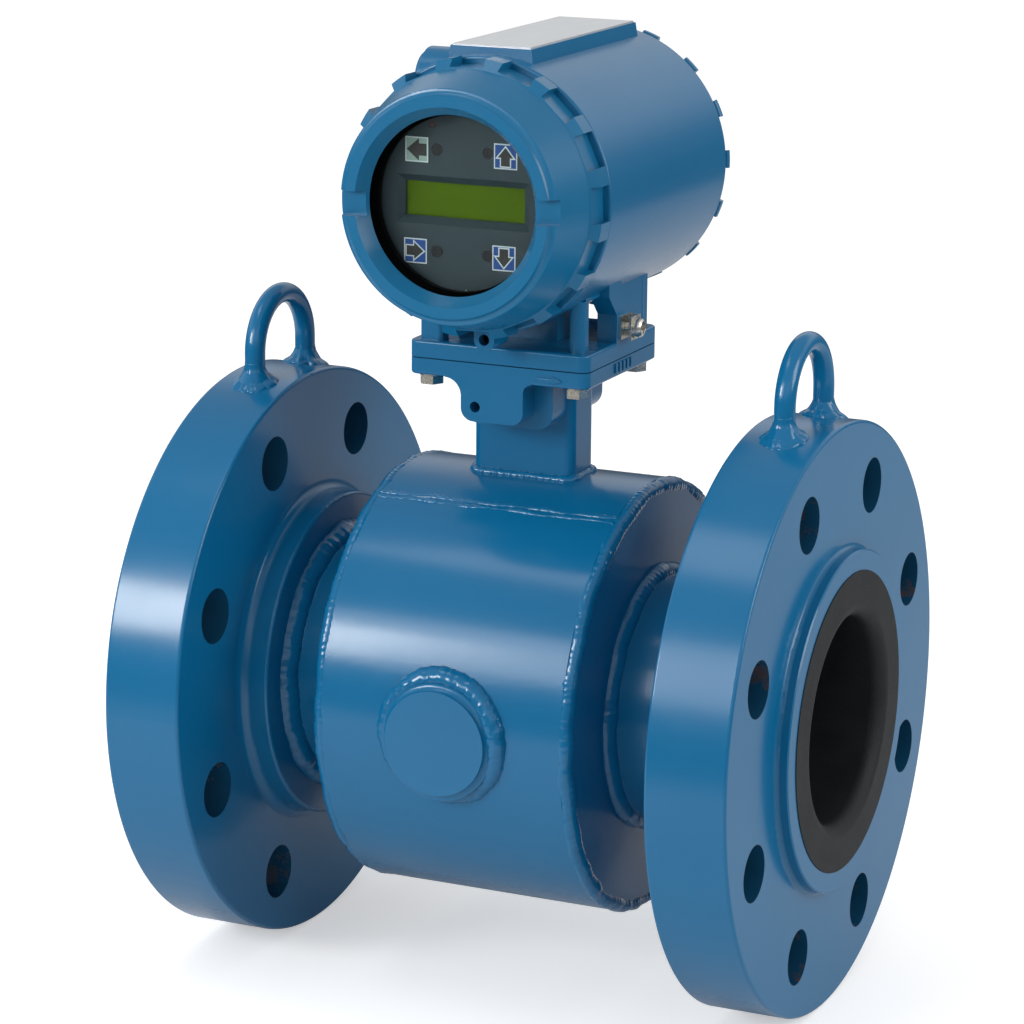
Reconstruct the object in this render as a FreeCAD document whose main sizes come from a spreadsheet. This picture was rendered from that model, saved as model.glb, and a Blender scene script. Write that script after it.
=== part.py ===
"""Electromagnetic flow meter: flanged, rubber-lined pipe spool with an integral transmitter head.

Millimetres.  Origin on the flow axis at mid-length, +X from inlet to outlet, +Z up to the head,
the display looks along -Y.
"""
import FreeCAD, Part
import math
import os
import Sketcher

Vector = FreeCAD.Vector
Rotation = FreeCAD.Rotation

doc = FreeCAD.newDocument("FlowMeter")
sheet = doc.addObject("Spreadsheet::Sheet", "sizes")


# ---------------------------------------------------------------------------
# A Size is a number together with the formula that gives it from the sheet, so that ordinary
# arithmetic on sizes also builds the expression that a property or a sketch is bound to.
# ---------------------------------------------------------------------------
class Size:
    def __init__(self, value, formula):
        self.value = value
        self.formula = formula

    def join(self, sign, other, value):
        return Size(value, "(%s %s %s)" % (self.formula, sign, other.formula))

    def __add__(self, other):
        other = as_size(other)
        return self.join("+", other, self.value + other.value)

    def __sub__(self, other):
        other = as_size(other)
        return self.join("-", other, self.value - other.value)

    def __mul__(self, other):
        other = as_size(other)
        return self.join("*", other, self.value * other.value)

    def __truediv__(self, other):
        other = as_size(other)
        return self.join("/", other, self.value / other.value)

    def __radd__(self, other):
        return as_size(other) + self

    def __rsub__(self, other):
        return as_size(other) - self

    def __rmul__(self, other):
        return as_size(other) * self

    def __neg__(self):
        return Size(-self.value, "(0 - %s)" % self.formula)


def as_size(item):
    return item if isinstance(item, Size) else Size(float(item), repr(float(item)))


def root(item):
    return Size(math.sqrt(item.value), "sqrt(%s)" % item.formula)


def size(name, value):
    """Write one driving dimension into the sheet and give it back as a Size."""
    row = size.rows = getattr(size, "rows", 0) + 1
    sheet.set("A%d" % row, name)
    sheet.set("B%d" % row, str(value))
    sheet.setAlias("B%d" % row, name)
    return Size(float(value), "sizes." + name)


# ---------------------------------------------------------------------------
# Driving dimensions
# ---------------------------------------------------------------------------
# Pipe spool: flanges of the 4 inch, class 600 pattern on a 4 inch pipe
overall_length = size("overall_length", 313.0)
raised_face_height = size("raised_face_height", 6.4)
raised_face_diameter = size("raised_face_diameter", 156.4)
raised_face_fillet = size("raised_face_fillet", 2.5)
flange_diameter = size("flange_diameter", 271.5)
flange_thickness = size("flange_thickness", 37.5)
flange_edge_round = size("flange_edge_round", 1.5)
bolt_circle = size("bolt_circle", 215.9)
bolt_hole_diameter = size("bolt_hole_diameter", 25.4)
bolt_count = 8
hub_diameter = size("hub_diameter", 154.4)
hub_length = size("hub_length", 14.0)
hub_fillet = size("hub_fillet", 5.0)
hub_edge_round = size("hub_edge_round", 1.5)
tube_diameter = size("tube_diameter", 114.3)
tube_wall = size("tube_wall", 6.0)
tube_slip_gap = size("tube_slip_gap", 0.2)
flange_weld_leg = size("flange_weld_leg", 9.0)

# Rubber liner, flared over both raised faces
liner_wall = size("liner_wall", 3.6)
liner_flare_diameter = size("liner_flare_diameter", 137.5)
liner_flare_thickness = size("liner_flare_thickness", 5.0)
liner_lip_round = size("liner_lip_round", 6.5)
liner_proud = size("liner_proud", 0.4)
bond_gap = size("bond_gap", 0.1)

# Coil housing round the middle of the spool
coil_housing_length = size("coil_housing_length", 126.0)
shell_diameter = size("shell_diameter", 201.0)
shell_wall = size("shell_wall", 4.0)
end_plate_thickness = size("end_plate_thickness", 8.0)
end_plate_gap = size("end_plate_gap", 0.3)
shell_weld_leg = size("shell_weld_leg", 4.5)
tube_weld_leg = size("tube_weld_leg", 7.0)

# Electrode compartments on the two sides, and the electrodes in them
cap_diameter = size("cap_diameter", 54.0)
cap_reach = size("cap_reach", 106.0)
cap_wall = size("cap_wall", 4.0)
cap_drop = size("cap_drop", 2.0)
cap_edge_round = size("cap_edge_round", 3.0)
cap_fit_gap = size("cap_fit_gap", 0.3)
cap_weld_width = size("cap_weld_width", 4.9)
cap_weld_height = size("cap_weld_height", 1.6)
electrode_head_diameter = size("electrode_head_diameter", 10.0)
electrode_head_height = size("electrode_head_height", 1.6)
electrode_shank_diameter = size("electrode_shank_diameter", 5.0)
electrode_reach = size("electrode_reach", 80.0)
insulator_wall = size("insulator_wall", 3.0)
insulator_flange_diameter = size("insulator_flange_diameter", 20.0)
insulator_flange_thickness = size("insulator_flange_thickness", 4.0)
electrode_nut_width = size("electrode_nut_width", 8.0)
electrode_nut_height = size("electrode_nut_height", 4.0)
inner_fit_gap = size("inner_fit_gap", 0.15)

# Field coils above and below the tube, with the iron that closes their circuit
coil_outer_diameter = size("coil_outer_diameter", 64.0)
coil_inner_diameter = size("coil_inner_diameter", 40.0)
coil_height = size("coil_height", 14.0)
coil_base_height = size("coil_base_height", 66.0)
pole_diameter = size("pole_diameter", 36.0)
pole_shoe_diameter = size("pole_shoe_diameter", 76.0)
return_band_inner_diameter = size("return_band_inner_diameter", 175.0)
return_band_thickness = size("return_band_thickness", 4.0)
return_band_width = size("return_band_width", 60.0)

# Lifting hoops of bent round bar, one on the rim of each flange
hoop_rod_diameter = size("hoop_rod_diameter", 9.6)
hoop_leg_spacing = size("hoop_leg_spacing", 50.0)
hoop_rise = size("hoop_rise", 40.55)
hoop_weld_diameter = size("hoop_weld_diameter", 19.0)
hoop_weld_height = size("hoop_weld_height", 7.0)

# Neck of rectangular tube, and the two bolted plates on top of it
neck_width = size("neck_width", 50.0)
neck_depth = size("neck_depth", 25.0)
neck_corner = size("neck_corner", 4.5)
neck_wall = size("neck_wall", 3.0)
neck_wire_hole_diameter = size("neck_wire_hole_diameter", 16.0)
junction_height = size("junction_height", 156.9)
plate_width = size("plate_width", 88.0)
plate_depth = size("plate_depth", 82.4)
plate_corner = size("plate_corner", 4.6)
lower_plate_thickness = size("lower_plate_thickness", 7.5)
upper_plate_thickness = size("upper_plate_thickness", 7.7)
plate_edge_round = size("plate_edge_round", 1.2)
gasket_thickness = size("gasket_thickness", 0.5)
gasket_inset = size("gasket_inset", 1.6)
tab_left = size("tab_left", 17.7)
tab_right = size("tab_right", 12.9)
tab_drop = size("tab_drop", 19.2)
tab_depth = size("tab_depth", 13.0)
tab_corner = size("tab_corner", 6.0)
tab_root_fillet = size("tab_root_fillet", 8.0)
tab_hole_diameter = size("tab_hole_diameter", 5.0)
tab_hole_offset = size("tab_hole_offset", 10.7)
tab_hole_drop = size("tab_hole_drop", 12.5)
tab_hole_depth = size("tab_hole_depth", 9.0)
socket_width = size("socket_width", 44.0)
socket_drop = size("socket_drop", 23.0)
socket_corner = size("socket_corner", 8.0)
wire_passage_diameter = size("wire_passage_diameter", 18.0)
base_bolt_spacing_x = size("base_bolt_spacing_x", 72.0)
base_bolt_spacing_y = size("base_bolt_spacing_y", 66.0)
base_bolt_diameter = size("base_bolt_diameter", 6.0)
base_bolt_engagement = size("base_bolt_engagement", 6.0)
base_bolt_head_width = size("base_bolt_head_width", 10.0)
base_bolt_head_height = size("base_bolt_head_height", 4.0)
base_washer_diameter = size("base_washer_diameter", 11.4)
base_washer_thickness = size("base_washer_thickness", 1.0)
screw_clearance = size("screw_clearance", 0.3)

# Transmitter housing casting
pedestal_height = size("pedestal_height", 78.7)
barrel_diameter = size("barrel_diameter", 122.6)
barrel_front_reach = size("barrel_front_reach", 57.2)
barrel_rear_reach = size("barrel_rear_reach", 79.5)
barrel_edge_round = size("barrel_edge_round", 1.2)
cover_bore_diameter = size("cover_bore_diameter", 104.0)
cover_bore_depth = size("cover_bore_depth", 16.0)
compartment_diameter = size("compartment_diameter", 100.0)
divider_position = size("divider_position", 14.0)
divider_thickness = size("divider_thickness", 5.0)
pedestal_width = size("pedestal_width", 79.0)
pedestal_depth = size("pedestal_depth", 77.0)
column_width = size("column_width", 36.0)
column_depth = size("column_depth", 30.0)
post_diameter = size("post_diameter", 7.5)
post_height = size("post_height", 23.0)
corner_post_width = size("corner_post_width", 11.0)
corner_post_depth = size("corner_post_depth", 9.0)
corner_post_round = size("corner_post_round", 2.0)
side_wall_thickness = size("side_wall_thickness", 5.0)
side_wall_front = size("side_wall_front", 33.0)
side_window_front = size("side_window_front", 29.5)
side_window_rear = size("side_window_rear", 8.0)
side_window_height = size("side_window_height", 22.3)
rib_width = size("rib_width", 13.6)
rib_shoulder = size("rib_shoulder", 12.8)
rib_lean = size("rib_lean", 9.0)
name_pad_width = size("name_pad_width", 39.0)
name_pad_base_width = size("name_pad_base_width", 41.4)
name_pad_front = size("name_pad_front", 50.0)
name_pad_rear = size("name_pad_rear", 68.5)
name_pad_height = size("name_pad_height", 64.2)
name_pad_slope = size("name_pad_slope", 3.0)
name_plate_thickness = size("name_plate_thickness", 0.8)
name_plate_margin = size("name_plate_margin", 0.8)
conduit_boss_diameter = size("conduit_boss_diameter", 30.0)
conduit_boss_reach = size("conduit_boss_reach", 72.5)
conduit_boss_position = size("conduit_boss_position", 36.0)
conduit_boss_spacing = size("conduit_boss_spacing", 73.4)
conduit_bore_diameter = size("conduit_bore_diameter", 20.6)
conduit_bore_depth = size("conduit_bore_depth", 42.5)
boss_edge_round = size("boss_edge_round", 2.5)
jam_boss_diameter = size("jam_boss_diameter", 9.8)
jam_boss_offset = size("jam_boss_offset", 1.1)
jam_boss_drop = size("jam_boss_drop", 64.3)
jam_boss_length = size("jam_boss_length", 15.5)
jam_screw_diameter = size("jam_screw_diameter", 4.8)
jam_screw_length = size("jam_screw_length", 8.0)
jam_screw_recess = size("jam_screw_recess", 5.0)
jam_socket_width = size("jam_socket_width", 2.4)
ground_position = size("ground_position", 0.0)
ground_height = size("ground_height", 6.4)

# Covers, their glass and their seals
cover_gap = size("cover_gap", 0.3)
cover_rim_diameter = size("cover_rim_diameter", 123.6)
cover_rim_width = size("cover_rim_width", 14.0)
cover_rim_bevel = size("cover_rim_bevel", 3.6)
cover_flank_diameter = size("cover_flank_diameter", 114.6)
cover_face_diameter = size("cover_face_diameter", 101.6)
cover_face_round = size("cover_face_round", 2.5)
front_cover_height = size("front_cover_height", 37.7)
rear_cover_height = size("rear_cover_height", 20.0)
rear_rim_width = size("rear_rim_width", 6.4)
rear_cover_thickness = size("rear_cover_thickness", 7.0)
rear_face_recess = size("rear_face_recess", 1.5)
lug_count = 16
lug_floor_diameter = size("lug_floor_diameter", 115.4)
lug_pocket_width = size("lug_pocket_width", 16.0)
front_cover_turn = size("front_cover_turn", 1.6)
rear_cover_turn = size("rear_cover_turn", 9.7)
notch_width = size("notch_width", 11.0)
notch_depth = size("notch_depth", 5.0)
spigot_length = size("spigot_length", 13.5)
spigot_clearance = size("spigot_clearance", 0.2)
cover_cavity_diameter = size("cover_cavity_diameter", 93.0)
oring_section = size("oring_section", 2.4)
oring_groove_margin = size("oring_groove_margin", 0.3)
oring_bore_clearance = size("oring_bore_clearance", 0.15)
oring_set_back = size("oring_set_back", 0.5)
window_diameter = size("window_diameter", 79.0)
window_bevel = size("window_bevel", 4.0)
glass_set_back = size("glass_set_back", 6.6)
glass_diameter = size("glass_diameter", 86.0)
glass_thickness = size("glass_thickness", 8.0)
glass_clearance = size("glass_clearance", 0.2)
retainer_thickness = size("retainer_thickness", 3.0)
retainer_width = size("retainer_width", 4.5)

# Display and electronics
display_diameter = size("display_diameter", 89.0)
display_reach = size("display_reach", 76.0)
display_thickness = size("display_thickness", 4.0)
lcd_view_width = size("lcd_view_width", 57.2)
lcd_view_height = size("lcd_view_height", 15.4)
lcd_bevel = size("lcd_bevel", 3.0)
lcd_margin = size("lcd_margin", 5.0)
lcd_thickness = size("lcd_thickness", 3.0)
switch_lens_diameter = size("switch_lens_diameter", 5.0)
switch_spacing_x = size("switch_spacing_x", 24.6)
switch_spacing_z = size("switch_spacing_z", 44.6)
led_diameter = size("led_diameter", 3.0)
led_offset_x = size("led_offset_x", 14.6)
led_offset_z = size("led_offset_z", 33.0)
board_thickness = size("board_thickness", 1.6)
display_board_diameter = size("display_board_diameter", 84.0)
display_board_gap = size("display_board_gap", 0.4)
main_board_diameter = size("main_board_diameter", 90.0)
main_board_reach = size("main_board_reach", 50.0)
power_board_reach = size("power_board_reach", 14.0)
carrier_thickness = size("carrier_thickness", 3.0)
spacer_diameter = size("spacer_diameter", 6.0)
spacer_circle = size("spacer_circle", 72.0)
spacer_count = 3
feedthrough_diameter = size("feedthrough_diameter", 16.0)
feedthrough_flange_diameter = size("feedthrough_flange_diameter", 22.0)
feedthrough_flange_thickness = size("feedthrough_flange_thickness", 3.0)
feedthrough_drop = size("feedthrough_drop", 24.0)
terminal_block_width = size("terminal_block_width", 66.0)
terminal_block_height = size("terminal_block_height", 26.0)
terminal_block_depth = size("terminal_block_depth", 14.0)
terminal_count = 6
terminal_pitch = size("terminal_pitch", 10.0)
terminal_barrier = size("terminal_barrier", 1.4)
terminal_barrier_height = size("terminal_barrier_height", 4.0)
terminal_screw_diameter = size("terminal_screw_diameter", 6.0)
terminal_screw_height = size("terminal_screw_height", 2.4)

# External ground terminal on the side of the pedestal
clamp_width = size("clamp_width", 11.0)
clamp_height = size("clamp_height", 10.6)
clamp_depth = size("clamp_depth", 6.0)
clamp_sheet = size("clamp_sheet", 1.2)
ground_screw_head_diameter = size("ground_screw_head_diameter", 9.0)
ground_screw_head_height = size("ground_screw_head_height", 4.0)
ground_screw_diameter = size("ground_screw_diameter", 4.0)
ground_screw_depth = size("ground_screw_depth", 6.0)

doc.recompute()

# Places that several pieces share
face = overall_length / 2
flange_face = face - raised_face_height
flange_back = flange_face - flange_thickness
hub_end = flange_back - hub_length
tube_radius = tube_diameter / 2
tube_bore_radius = tube_radius - tube_wall
bore_radius = tube_bore_radius - bond_gap - liner_wall
shell_radius = shell_diameter / 2
shell_bore_radius = shell_radius - shell_wall
housing_end = coil_housing_length / 2
shell_end = housing_end - shell_weld_leg
lower_plate_top = junction_height - gasket_thickness / 2
lower_plate_bottom = lower_plate_top - lower_plate_thickness
upper_plate_bottom = junction_height + gasket_thickness / 2
upper_plate_top = upper_plate_bottom + upper_plate_thickness
head_height = junction_height + pedestal_height
barrel_radius = barrel_diameter / 2
front_shoulder = barrel_front_reach + cover_gap
rear_shoulder = barrel_rear_reach + cover_gap
divider_rear = divider_position + divider_thickness


# ---------------------------------------------------------------------------
# Ways of making pieces
# ---------------------------------------------------------------------------
TURNS = {
    "x": Rotation(),
    "y": Rotation(Vector(0, 0, 1), 90),
    "-y": Rotation(Vector(0, 0, 1), -90),
    "z": Rotation(Vector(0, 1, 0), -90),
    "-x": Rotation(Vector(0, 0, 1), 180),
}
STANDS = {
    "x": Rotation(Vector(1, 1, 1), 120),
    "-x": Rotation(Vector(0, 1, 0), -90),
    "y": Rotation(Vector(1, 0, 0), -90),
    "-y": Rotation(Vector(1, 0, 0), 90),
    "z": Rotation(),
    "-z": Rotation(Vector(1, 0, 0), 180),
}


def bind(item, **properties):
    """Tie properties of an object to sizes; underscores in a name stand for dots."""
    for name, amount in properties.items():
        item.setExpression(name.replace("__", "."), as_size(amount).formula)


def place(item, rotation, at):
    item.Placement = FreeCAD.Placement(Vector(), rotation)
    bind(item, Placement__Base__x=at[0], Placement__Base__y=at[1], Placement__Base__z=at[2])


def cylinder(radius, length, at=(0, 0, 0), axis="z"):
    item = doc.addObject("Part::Cylinder", "Cylinder")
    bind(item, Radius=radius, Height=length)
    place(item, STANDS[axis], at)
    return item


def cone(base_radius, top_radius, length, at=(0, 0, 0), axis="z"):
    item = doc.addObject("Part::Cone", "Cone")
    bind(item, Radius1=base_radius, Radius2=top_radius, Height=length)
    place(item, STANDS[axis], at)
    return item


def block(lengths, low):
    """A box given by its lengths along X, Y, Z and its lowest corner."""
    item = doc.addObject("Part::Box", "Block")
    bind(item, Length=lengths[0], Width=lengths[1], Height=lengths[2])
    place(item, Rotation(), low)
    return item


def hex_bar(width_across_flats, length, at, axis="z"):
    item = doc.addObject("Part::Prism", "HexBar")
    item.Polygon = 6
    bind(item, Circumradius=width_across_flats * (1 / math.sqrt(3)), Height=length)
    place(item, STANDS[axis], at)
    return item


def cut(base, tool):
    item = doc.addObject("Part::Cut", "Cut")
    item.Base = base
    item.Tool = tool
    return item


def fuse(*items):
    item = doc.addObject("Part::MultiFuse", "Fuse")
    item.Shapes = list(items)
    return item


def common(*items):
    item = doc.addObject("Part::MultiCommon", "Common")
    item.Shapes = list(items)
    return item


def group(*items):
    item = doc.addObject("Part::Compound", "Group")
    item.Links = list(items)
    return item


def origin_feature(body, role):
    return next(item for item in body.Origin.OriginFeatures if item.Role == role)


def sketch(body, plane, path, name="Profile"):
    """A closed outline.  Each step of the path is (x, y) for a line from the step before, or
    (x, y, radius) for an arc, whose centre is on the left of the way when radius is positive."""
    item = body.newObject("Sketcher::SketchObject", name)
    item.AttachmentSupport = (origin_feature(body, plane), [""])
    item.MapMode = "FlatFace"
    corners = [(as_size(step[0]), as_size(step[1])) for step in path]
    pieces = []
    for index, step in enumerate(path):
        start = Vector(corners[index - 1][0].value, corners[index - 1][1].value, 0)
        end = Vector(corners[index][0].value, corners[index][1].value, 0)
        if len(step) == 2:
            pieces.append((item.addGeometry(Part.LineSegment(start, end), False), 1, 2, None))
            continue
        radius = as_size(step[2])
        chord = end - start
        left = Vector(-chord.y, chord.x, 0).normalize()
        side = 1 if radius.value > 0 else -1
        reach = math.sqrt(max(radius.value ** 2 - (chord.Length / 2) ** 2, 0))
        centre = (start + end) * 0.5 + left * side * reach
        angles = [math.atan2(point.y - centre.y, point.x - centre.x) for point in (start, end)]
        circle = Part.Circle(centre, Vector(0, 0, 1), abs(radius.value))
        if side > 0:
            arc = Part.ArcOfCircle(circle, angles[0], angles[1])
            pieces.append((item.addGeometry(arc, False), 1, 2, radius))
        else:
            arc = Part.ArcOfCircle(circle, angles[1], angles[0])
            pieces.append((item.addGeometry(arc, False), 2, 1, -radius))
    for index, (curve, first, last, radius) in enumerate(pieces):
        following = pieces[(index + 1) % len(pieces)]
        item.addConstraint(Sketcher.Constraint("Coincident", curve, last, following[0], following[1]))
        if radius is not None:
            number = item.addConstraint(Sketcher.Constraint("Radius", curve, radius.value))
            item.setExpression("Constraints[%d]" % number, radius.formula)
        for kind, amount, axis in (("DistanceX", corners[index][0], -2), ("DistanceY", corners[index][1], -1)):
            if amount.formula == "0.0":
                item.addConstraint(Sketcher.Constraint("PointOnObject", curve, last, axis))
                continue
            number = item.addConstraint(Sketcher.Constraint(kind, -1, 1, curve, last, amount.value))
            item.setExpression("Constraints[%d]" % number, amount.formula)
    return item


def circle_sketch(body, plane, centre, radius, name="Circle"):
    item = body.newObject("Sketcher::SketchObject", name)
    item.AttachmentSupport = (origin_feature(body, plane), [""])
    item.MapMode = "FlatFace"
    x, y, radius = as_size(centre[0]), as_size(centre[1]), as_size(radius)
    curve = item.addGeometry(Part.Circle(Vector(x.value, y.value, 0), Vector(0, 0, 1), radius.value), False)
    for kind, amount, axis in (("DistanceX", x, -2), ("DistanceY", y, -1)):
        if amount.formula == "0.0":
            item.addConstraint(Sketcher.Constraint("PointOnObject", curve, 3, axis))
            continue
        number = item.addConstraint(Sketcher.Constraint(kind, -1, 1, curve, 3, amount.value))
        item.setExpression("Constraints[%d]" % number, amount.formula)
    number = item.addConstraint(Sketcher.Constraint("Radius", curve, radius.value))
    item.setExpression("Constraints[%d]" % number, radius.formula)
    return item


def turned(path, at=(0, 0, 0), axis="x", name="Turned"):
    """A body turned on its own X axis from steps of (axial place, radius), then laid on an axis."""
    body = doc.addObject("PartDesign::Body", name)
    profile = sketch(body, "XY_Plane", path)
    turn = body.newObject("PartDesign::Revolution", "Turn")
    turn.Profile = profile
    turn.ReferenceAxis = (profile, ["H_Axis"])
    turn.Angle = 360
    place(body, TURNS[axis], at)
    return body


def padded(path, length, at=(0, 0, 0), axis="z", name="Padded"):
    """A body raised by a length from a closed outline, then stood on an axis."""
    body = doc.addObject("PartDesign::Body", name)
    profile = sketch(body, "XY_Plane", path)
    pad = body.newObject("PartDesign::Pad", "Pad")
    pad.Profile = profile
    bind(pad, Length=length)
    place(body, STANDS[axis], at)
    return body


def pocket_ring(body, profile, count, depth=None):
    """Cut an outline that lies across the body's X axis, repeated round that axis."""
    doc.recompute()
    solid_before = body.Shape.Volume
    pocket = body.newObject("PartDesign::Pocket", "Pocket")
    pocket.Profile = profile
    if depth is None:
        pocket.Type = "ThroughAll"
        pocket.Midplane = True
    else:
        pocket.Reversed = True
        bind(pocket, Length=depth)
    ring = body.newObject("PartDesign::PolarPattern", "Ring")
    ring.Originals = [pocket]
    ring.Axis = (origin_feature(body, "X_Axis"), [""])
    ring.Angle = 360
    ring.Occurrences = count
    body.Tip = ring
    doc.recompute()
    if body.Shape.Volume >= solid_before:
        raise RuntimeError("a pocket cut nothing in " + body.Name)


def round_edges(body, radius, choose):
    """Fillet the edges of a body that a test picks."""
    doc.recompute()
    base = body.Tip
    names = ["Edge%d" % (n + 1) for n, edge in enumerate(base.Shape.Edges) if choose(edge)]
    fillet = body.newObject("PartDesign::Fillet", "Round")
    fillet.Base = (base, names)
    bind(fillet, Radius=radius)


def rounded_rectangle(width, depth, corner):
    x, y = width / 2, depth / 2
    return [
        (x - corner, -y), (x, corner - y, corner), (x, y - corner), (x - corner, y, corner),
        (corner - x, y), (-x, y - corner, corner), (-x, corner - y), (corner - x, -y, corner),
    ]


def lies_flat_at(height):
    """A test for edges that lie in one level plane of their own body."""
    return lambda edge: all(abs(vertex.Z - height.value) < 1e-4 for vertex in edge.Vertexes)


nodes = []


def node(name, item):
    """Name a finished piece; its name is also the name of its file."""
    item.Label = name
    nodes.append(item)
    return item


# ---------------------------------------------------------------------------
# Flanges: raised face, eight holes, a short hub that slips over the tube
# ---------------------------------------------------------------------------
def flange(name, axis):
    outer = flange_diameter / 2
    raised = raised_face_diameter / 2
    hub = hub_diameter / 2
    bore = tube_radius + tube_slip_gap
    seat = liner_flare_diameter / 2 + bond_gap
    body = turned([
        (hub_end, bore),
        (hub_end, hub - hub_edge_round),
        (hub_end + hub_edge_round, hub, -hub_edge_round),
        (flange_back - hub_fillet, hub),
        (flange_back, hub + hub_fillet, hub_fillet),
        (flange_back, outer - flange_edge_round),
        (flange_back + flange_edge_round, outer, -flange_edge_round),
        (flange_face - flange_edge_round, outer),
        (flange_face, outer - flange_edge_round, -flange_edge_round),
        (flange_face, raised + raised_face_fillet),
        (flange_face + raised_face_fillet, raised, raised_face_fillet),
        (face - raised_face_fillet / 4, raised),
        (face, raised - raised_face_fillet / 4),
        (face, seat),
        (face - liner_flare_thickness, seat),
        (face - liner_flare_thickness, bore),
    ], axis=axis)
    half_pitch = 180.0 / bolt_count
    across = math.sin(math.radians(half_pitch))
    up = math.cos(math.radians(half_pitch))
    holes = circle_sketch(body, "YZ_Plane", (bolt_circle / 2 * across, bolt_circle / 2 * up),
                          bolt_hole_diameter / 2, "BoltHole")
    pocket_ring(body, holes, bolt_count)
    return node(name, body)


flange("outlet_flange", "x")
flange("inlet_flange", "-x")

# Flow tube: plain pipe between the two liner seats
tube_end = face - liner_flare_thickness
node("flow_tube", turned([
    (-tube_end, tube_bore_radius), (-tube_end, tube_radius), (tube_end, tube_radius), (tube_end, tube_bore_radius),
]))

# Liner: one moulded sleeve with a rounded lip and a flare at each end
liner_end = face + liner_proud
liner_outer = tube_bore_radius - bond_gap
flare_radius = liner_flare_diameter / 2
flare_back = face - liner_flare_thickness + bond_gap
lip = liner_lip_round
liner_body = turned([
    (-flare_back, liner_outer), (-flare_back, flare_radius), (-liner_end, flare_radius),
    (-liner_end, bore_radius + lip), (lip - liner_end, bore_radius, lip),
    (liner_end - lip, bore_radius), (liner_end, bore_radius + lip, lip),
    (liner_end, flare_radius), (flare_back, flare_radius), (flare_back, liner_outer),
])

# Welds that hold the hubs to the tube
def hub_weld(axis):
    leg = flange_weld_leg
    return turned([(hub_end - leg, tube_radius), (hub_end, tube_radius + leg, leg * 2), (hub_end, tube_radius)],
                  axis=axis)


node("flange_welds", group(hub_weld("x"), hub_weld("-x")))


# ---------------------------------------------------------------------------
# Lifting hoops: bar bent to a half round, its legs welded to the flange rim
# ---------------------------------------------------------------------------
def lifting_hoop(name, side):
    rod = hoop_rod_diameter / 2
    half = hoop_leg_spacing / 2
    x = (flange_face - flange_thickness / 2) * side
    bend_height = flange_diameter / 2 + hoop_rise - rod - half
    bend = doc.addObject("Part::Torus", "Bend")
    bind(bend, Radius1=half, Radius2=rod)
    bend.Angle3 = 180
    place(bend, STANDS["x"], (x, 0, bend_height))
    rim = flange_diameter / 2
    seat_height = root(rim * rim - half * half)
    pieces = [bend]
    for way in (-1, 1):
        sunk = half / 2
        pieces.append(cylinder(rod, bend_height - seat_height + sunk, (x, half * way, seat_height - sunk)))
        pieces.append(cone(hoop_weld_diameter / 2 + sunk / 2, rod, hoop_weld_height + sunk,
                           (x, half * way, seat_height - sunk)))
    rim_bar = cylinder(rim, flange_thickness, ((flange_back if side > 0 else -flange_face), 0, 0), "x")
    return node(name, cut(fuse(*pieces), rim_bar))


lifting_hoop("inlet_lifting_hoop", -1)
lifting_hoop("outlet_lifting_hoop", 1)


# ---------------------------------------------------------------------------
# Coil housing: rolled shell, two end plates and the welds at its seams
# ---------------------------------------------------------------------------
cap_radius = cap_diameter / 2
shell_tube = turned([
    (-shell_end, shell_bore_radius), (-shell_end, shell_radius), (shell_end, shell_radius), (shell_end, shell_bore_radius),
])
side_holes = cylinder(cap_radius + cap_fit_gap, shell_diameter * 1.2, (0, shell_diameter * -0.6, -cap_drop), "y")
wire_hole = cylinder(neck_wire_hole_diameter / 2, shell_diameter * 0.6, (0, 0, 0))
node("coil_housing_shell", cut(shell_tube, fuse(side_holes, wire_hole)))


def end_plate(name, axis):
    inner = tube_radius + tube_slip_gap
    outer = shell_bore_radius - end_plate_gap
    start = housing_end - end_plate_thickness
    return node(name, turned([(start, inner), (start, outer), (housing_end, outer), (housing_end, inner)], axis=axis))


end_plate("outlet_end_plate", "x")
end_plate("inlet_end_plate", "-x")


def end_welds(axis):
    plate_edge = shell_bore_radius - end_plate_gap
    leg = tube_weld_leg
    rim = turned([(shell_end, plate_edge), (shell_end, shell_radius), (housing_end, plate_edge)], axis=axis)
    root_weld = turned([(housing_end, tube_radius), (housing_end, tube_radius + leg), (housing_end + leg, tube_radius)],
                       axis=axis)
    return [rim, root_weld]


node("end_plate_welds", group(*end_welds("x"), *end_welds("-x")))


# ---------------------------------------------------------------------------
# Electrode compartments: welded cups over the electrodes on the two sides
# ---------------------------------------------------------------------------
def electrode_cap(name, axis):
    body = turned([
        (shell_bore_radius - shell_wall * 2, cap_radius - cap_wall),
        (shell_bore_radius - shell_wall * 2, cap_radius),
        (cap_reach - cap_edge_round, cap_radius),
        (cap_reach, cap_radius - cap_edge_round, cap_edge_round),
        (cap_reach, 0),
        (cap_reach - cap_wall, 0),
        (cap_reach - cap_wall, cap_radius - cap_wall),
    ], (0, 0, -cap_drop), axis)
    return node(name, body)


electrode_cap("front_electrode_cap", "-y")
electrode_cap("rear_electrode_cap", "y")


def cap_weld(axis):
    """A low ring of weld round the cup, lying on the curve of the shell."""
    at = (0, 0, -cap_drop)
    ring = cylinder(cap_radius + cap_weld_width, shell_radius * 1.2, at, axis)
    raised = cylinder(shell_radius + cap_weld_height, cap_diameter * 2, (-cap_diameter, 0, 0), "x")
    under = cylinder(shell_radius, cap_diameter * 2, (-cap_diameter, 0, 0), "x")
    return cut(common(ring, raised), fuse(under, cylinder(cap_radius, shell_radius * 1.2, at, axis)))


node("cap_welds", group(cap_weld("-y"), cap_weld("y")))

sleeve_radius = electrode_shank_diameter / 2 + inner_fit_gap + insulator_wall


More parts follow.
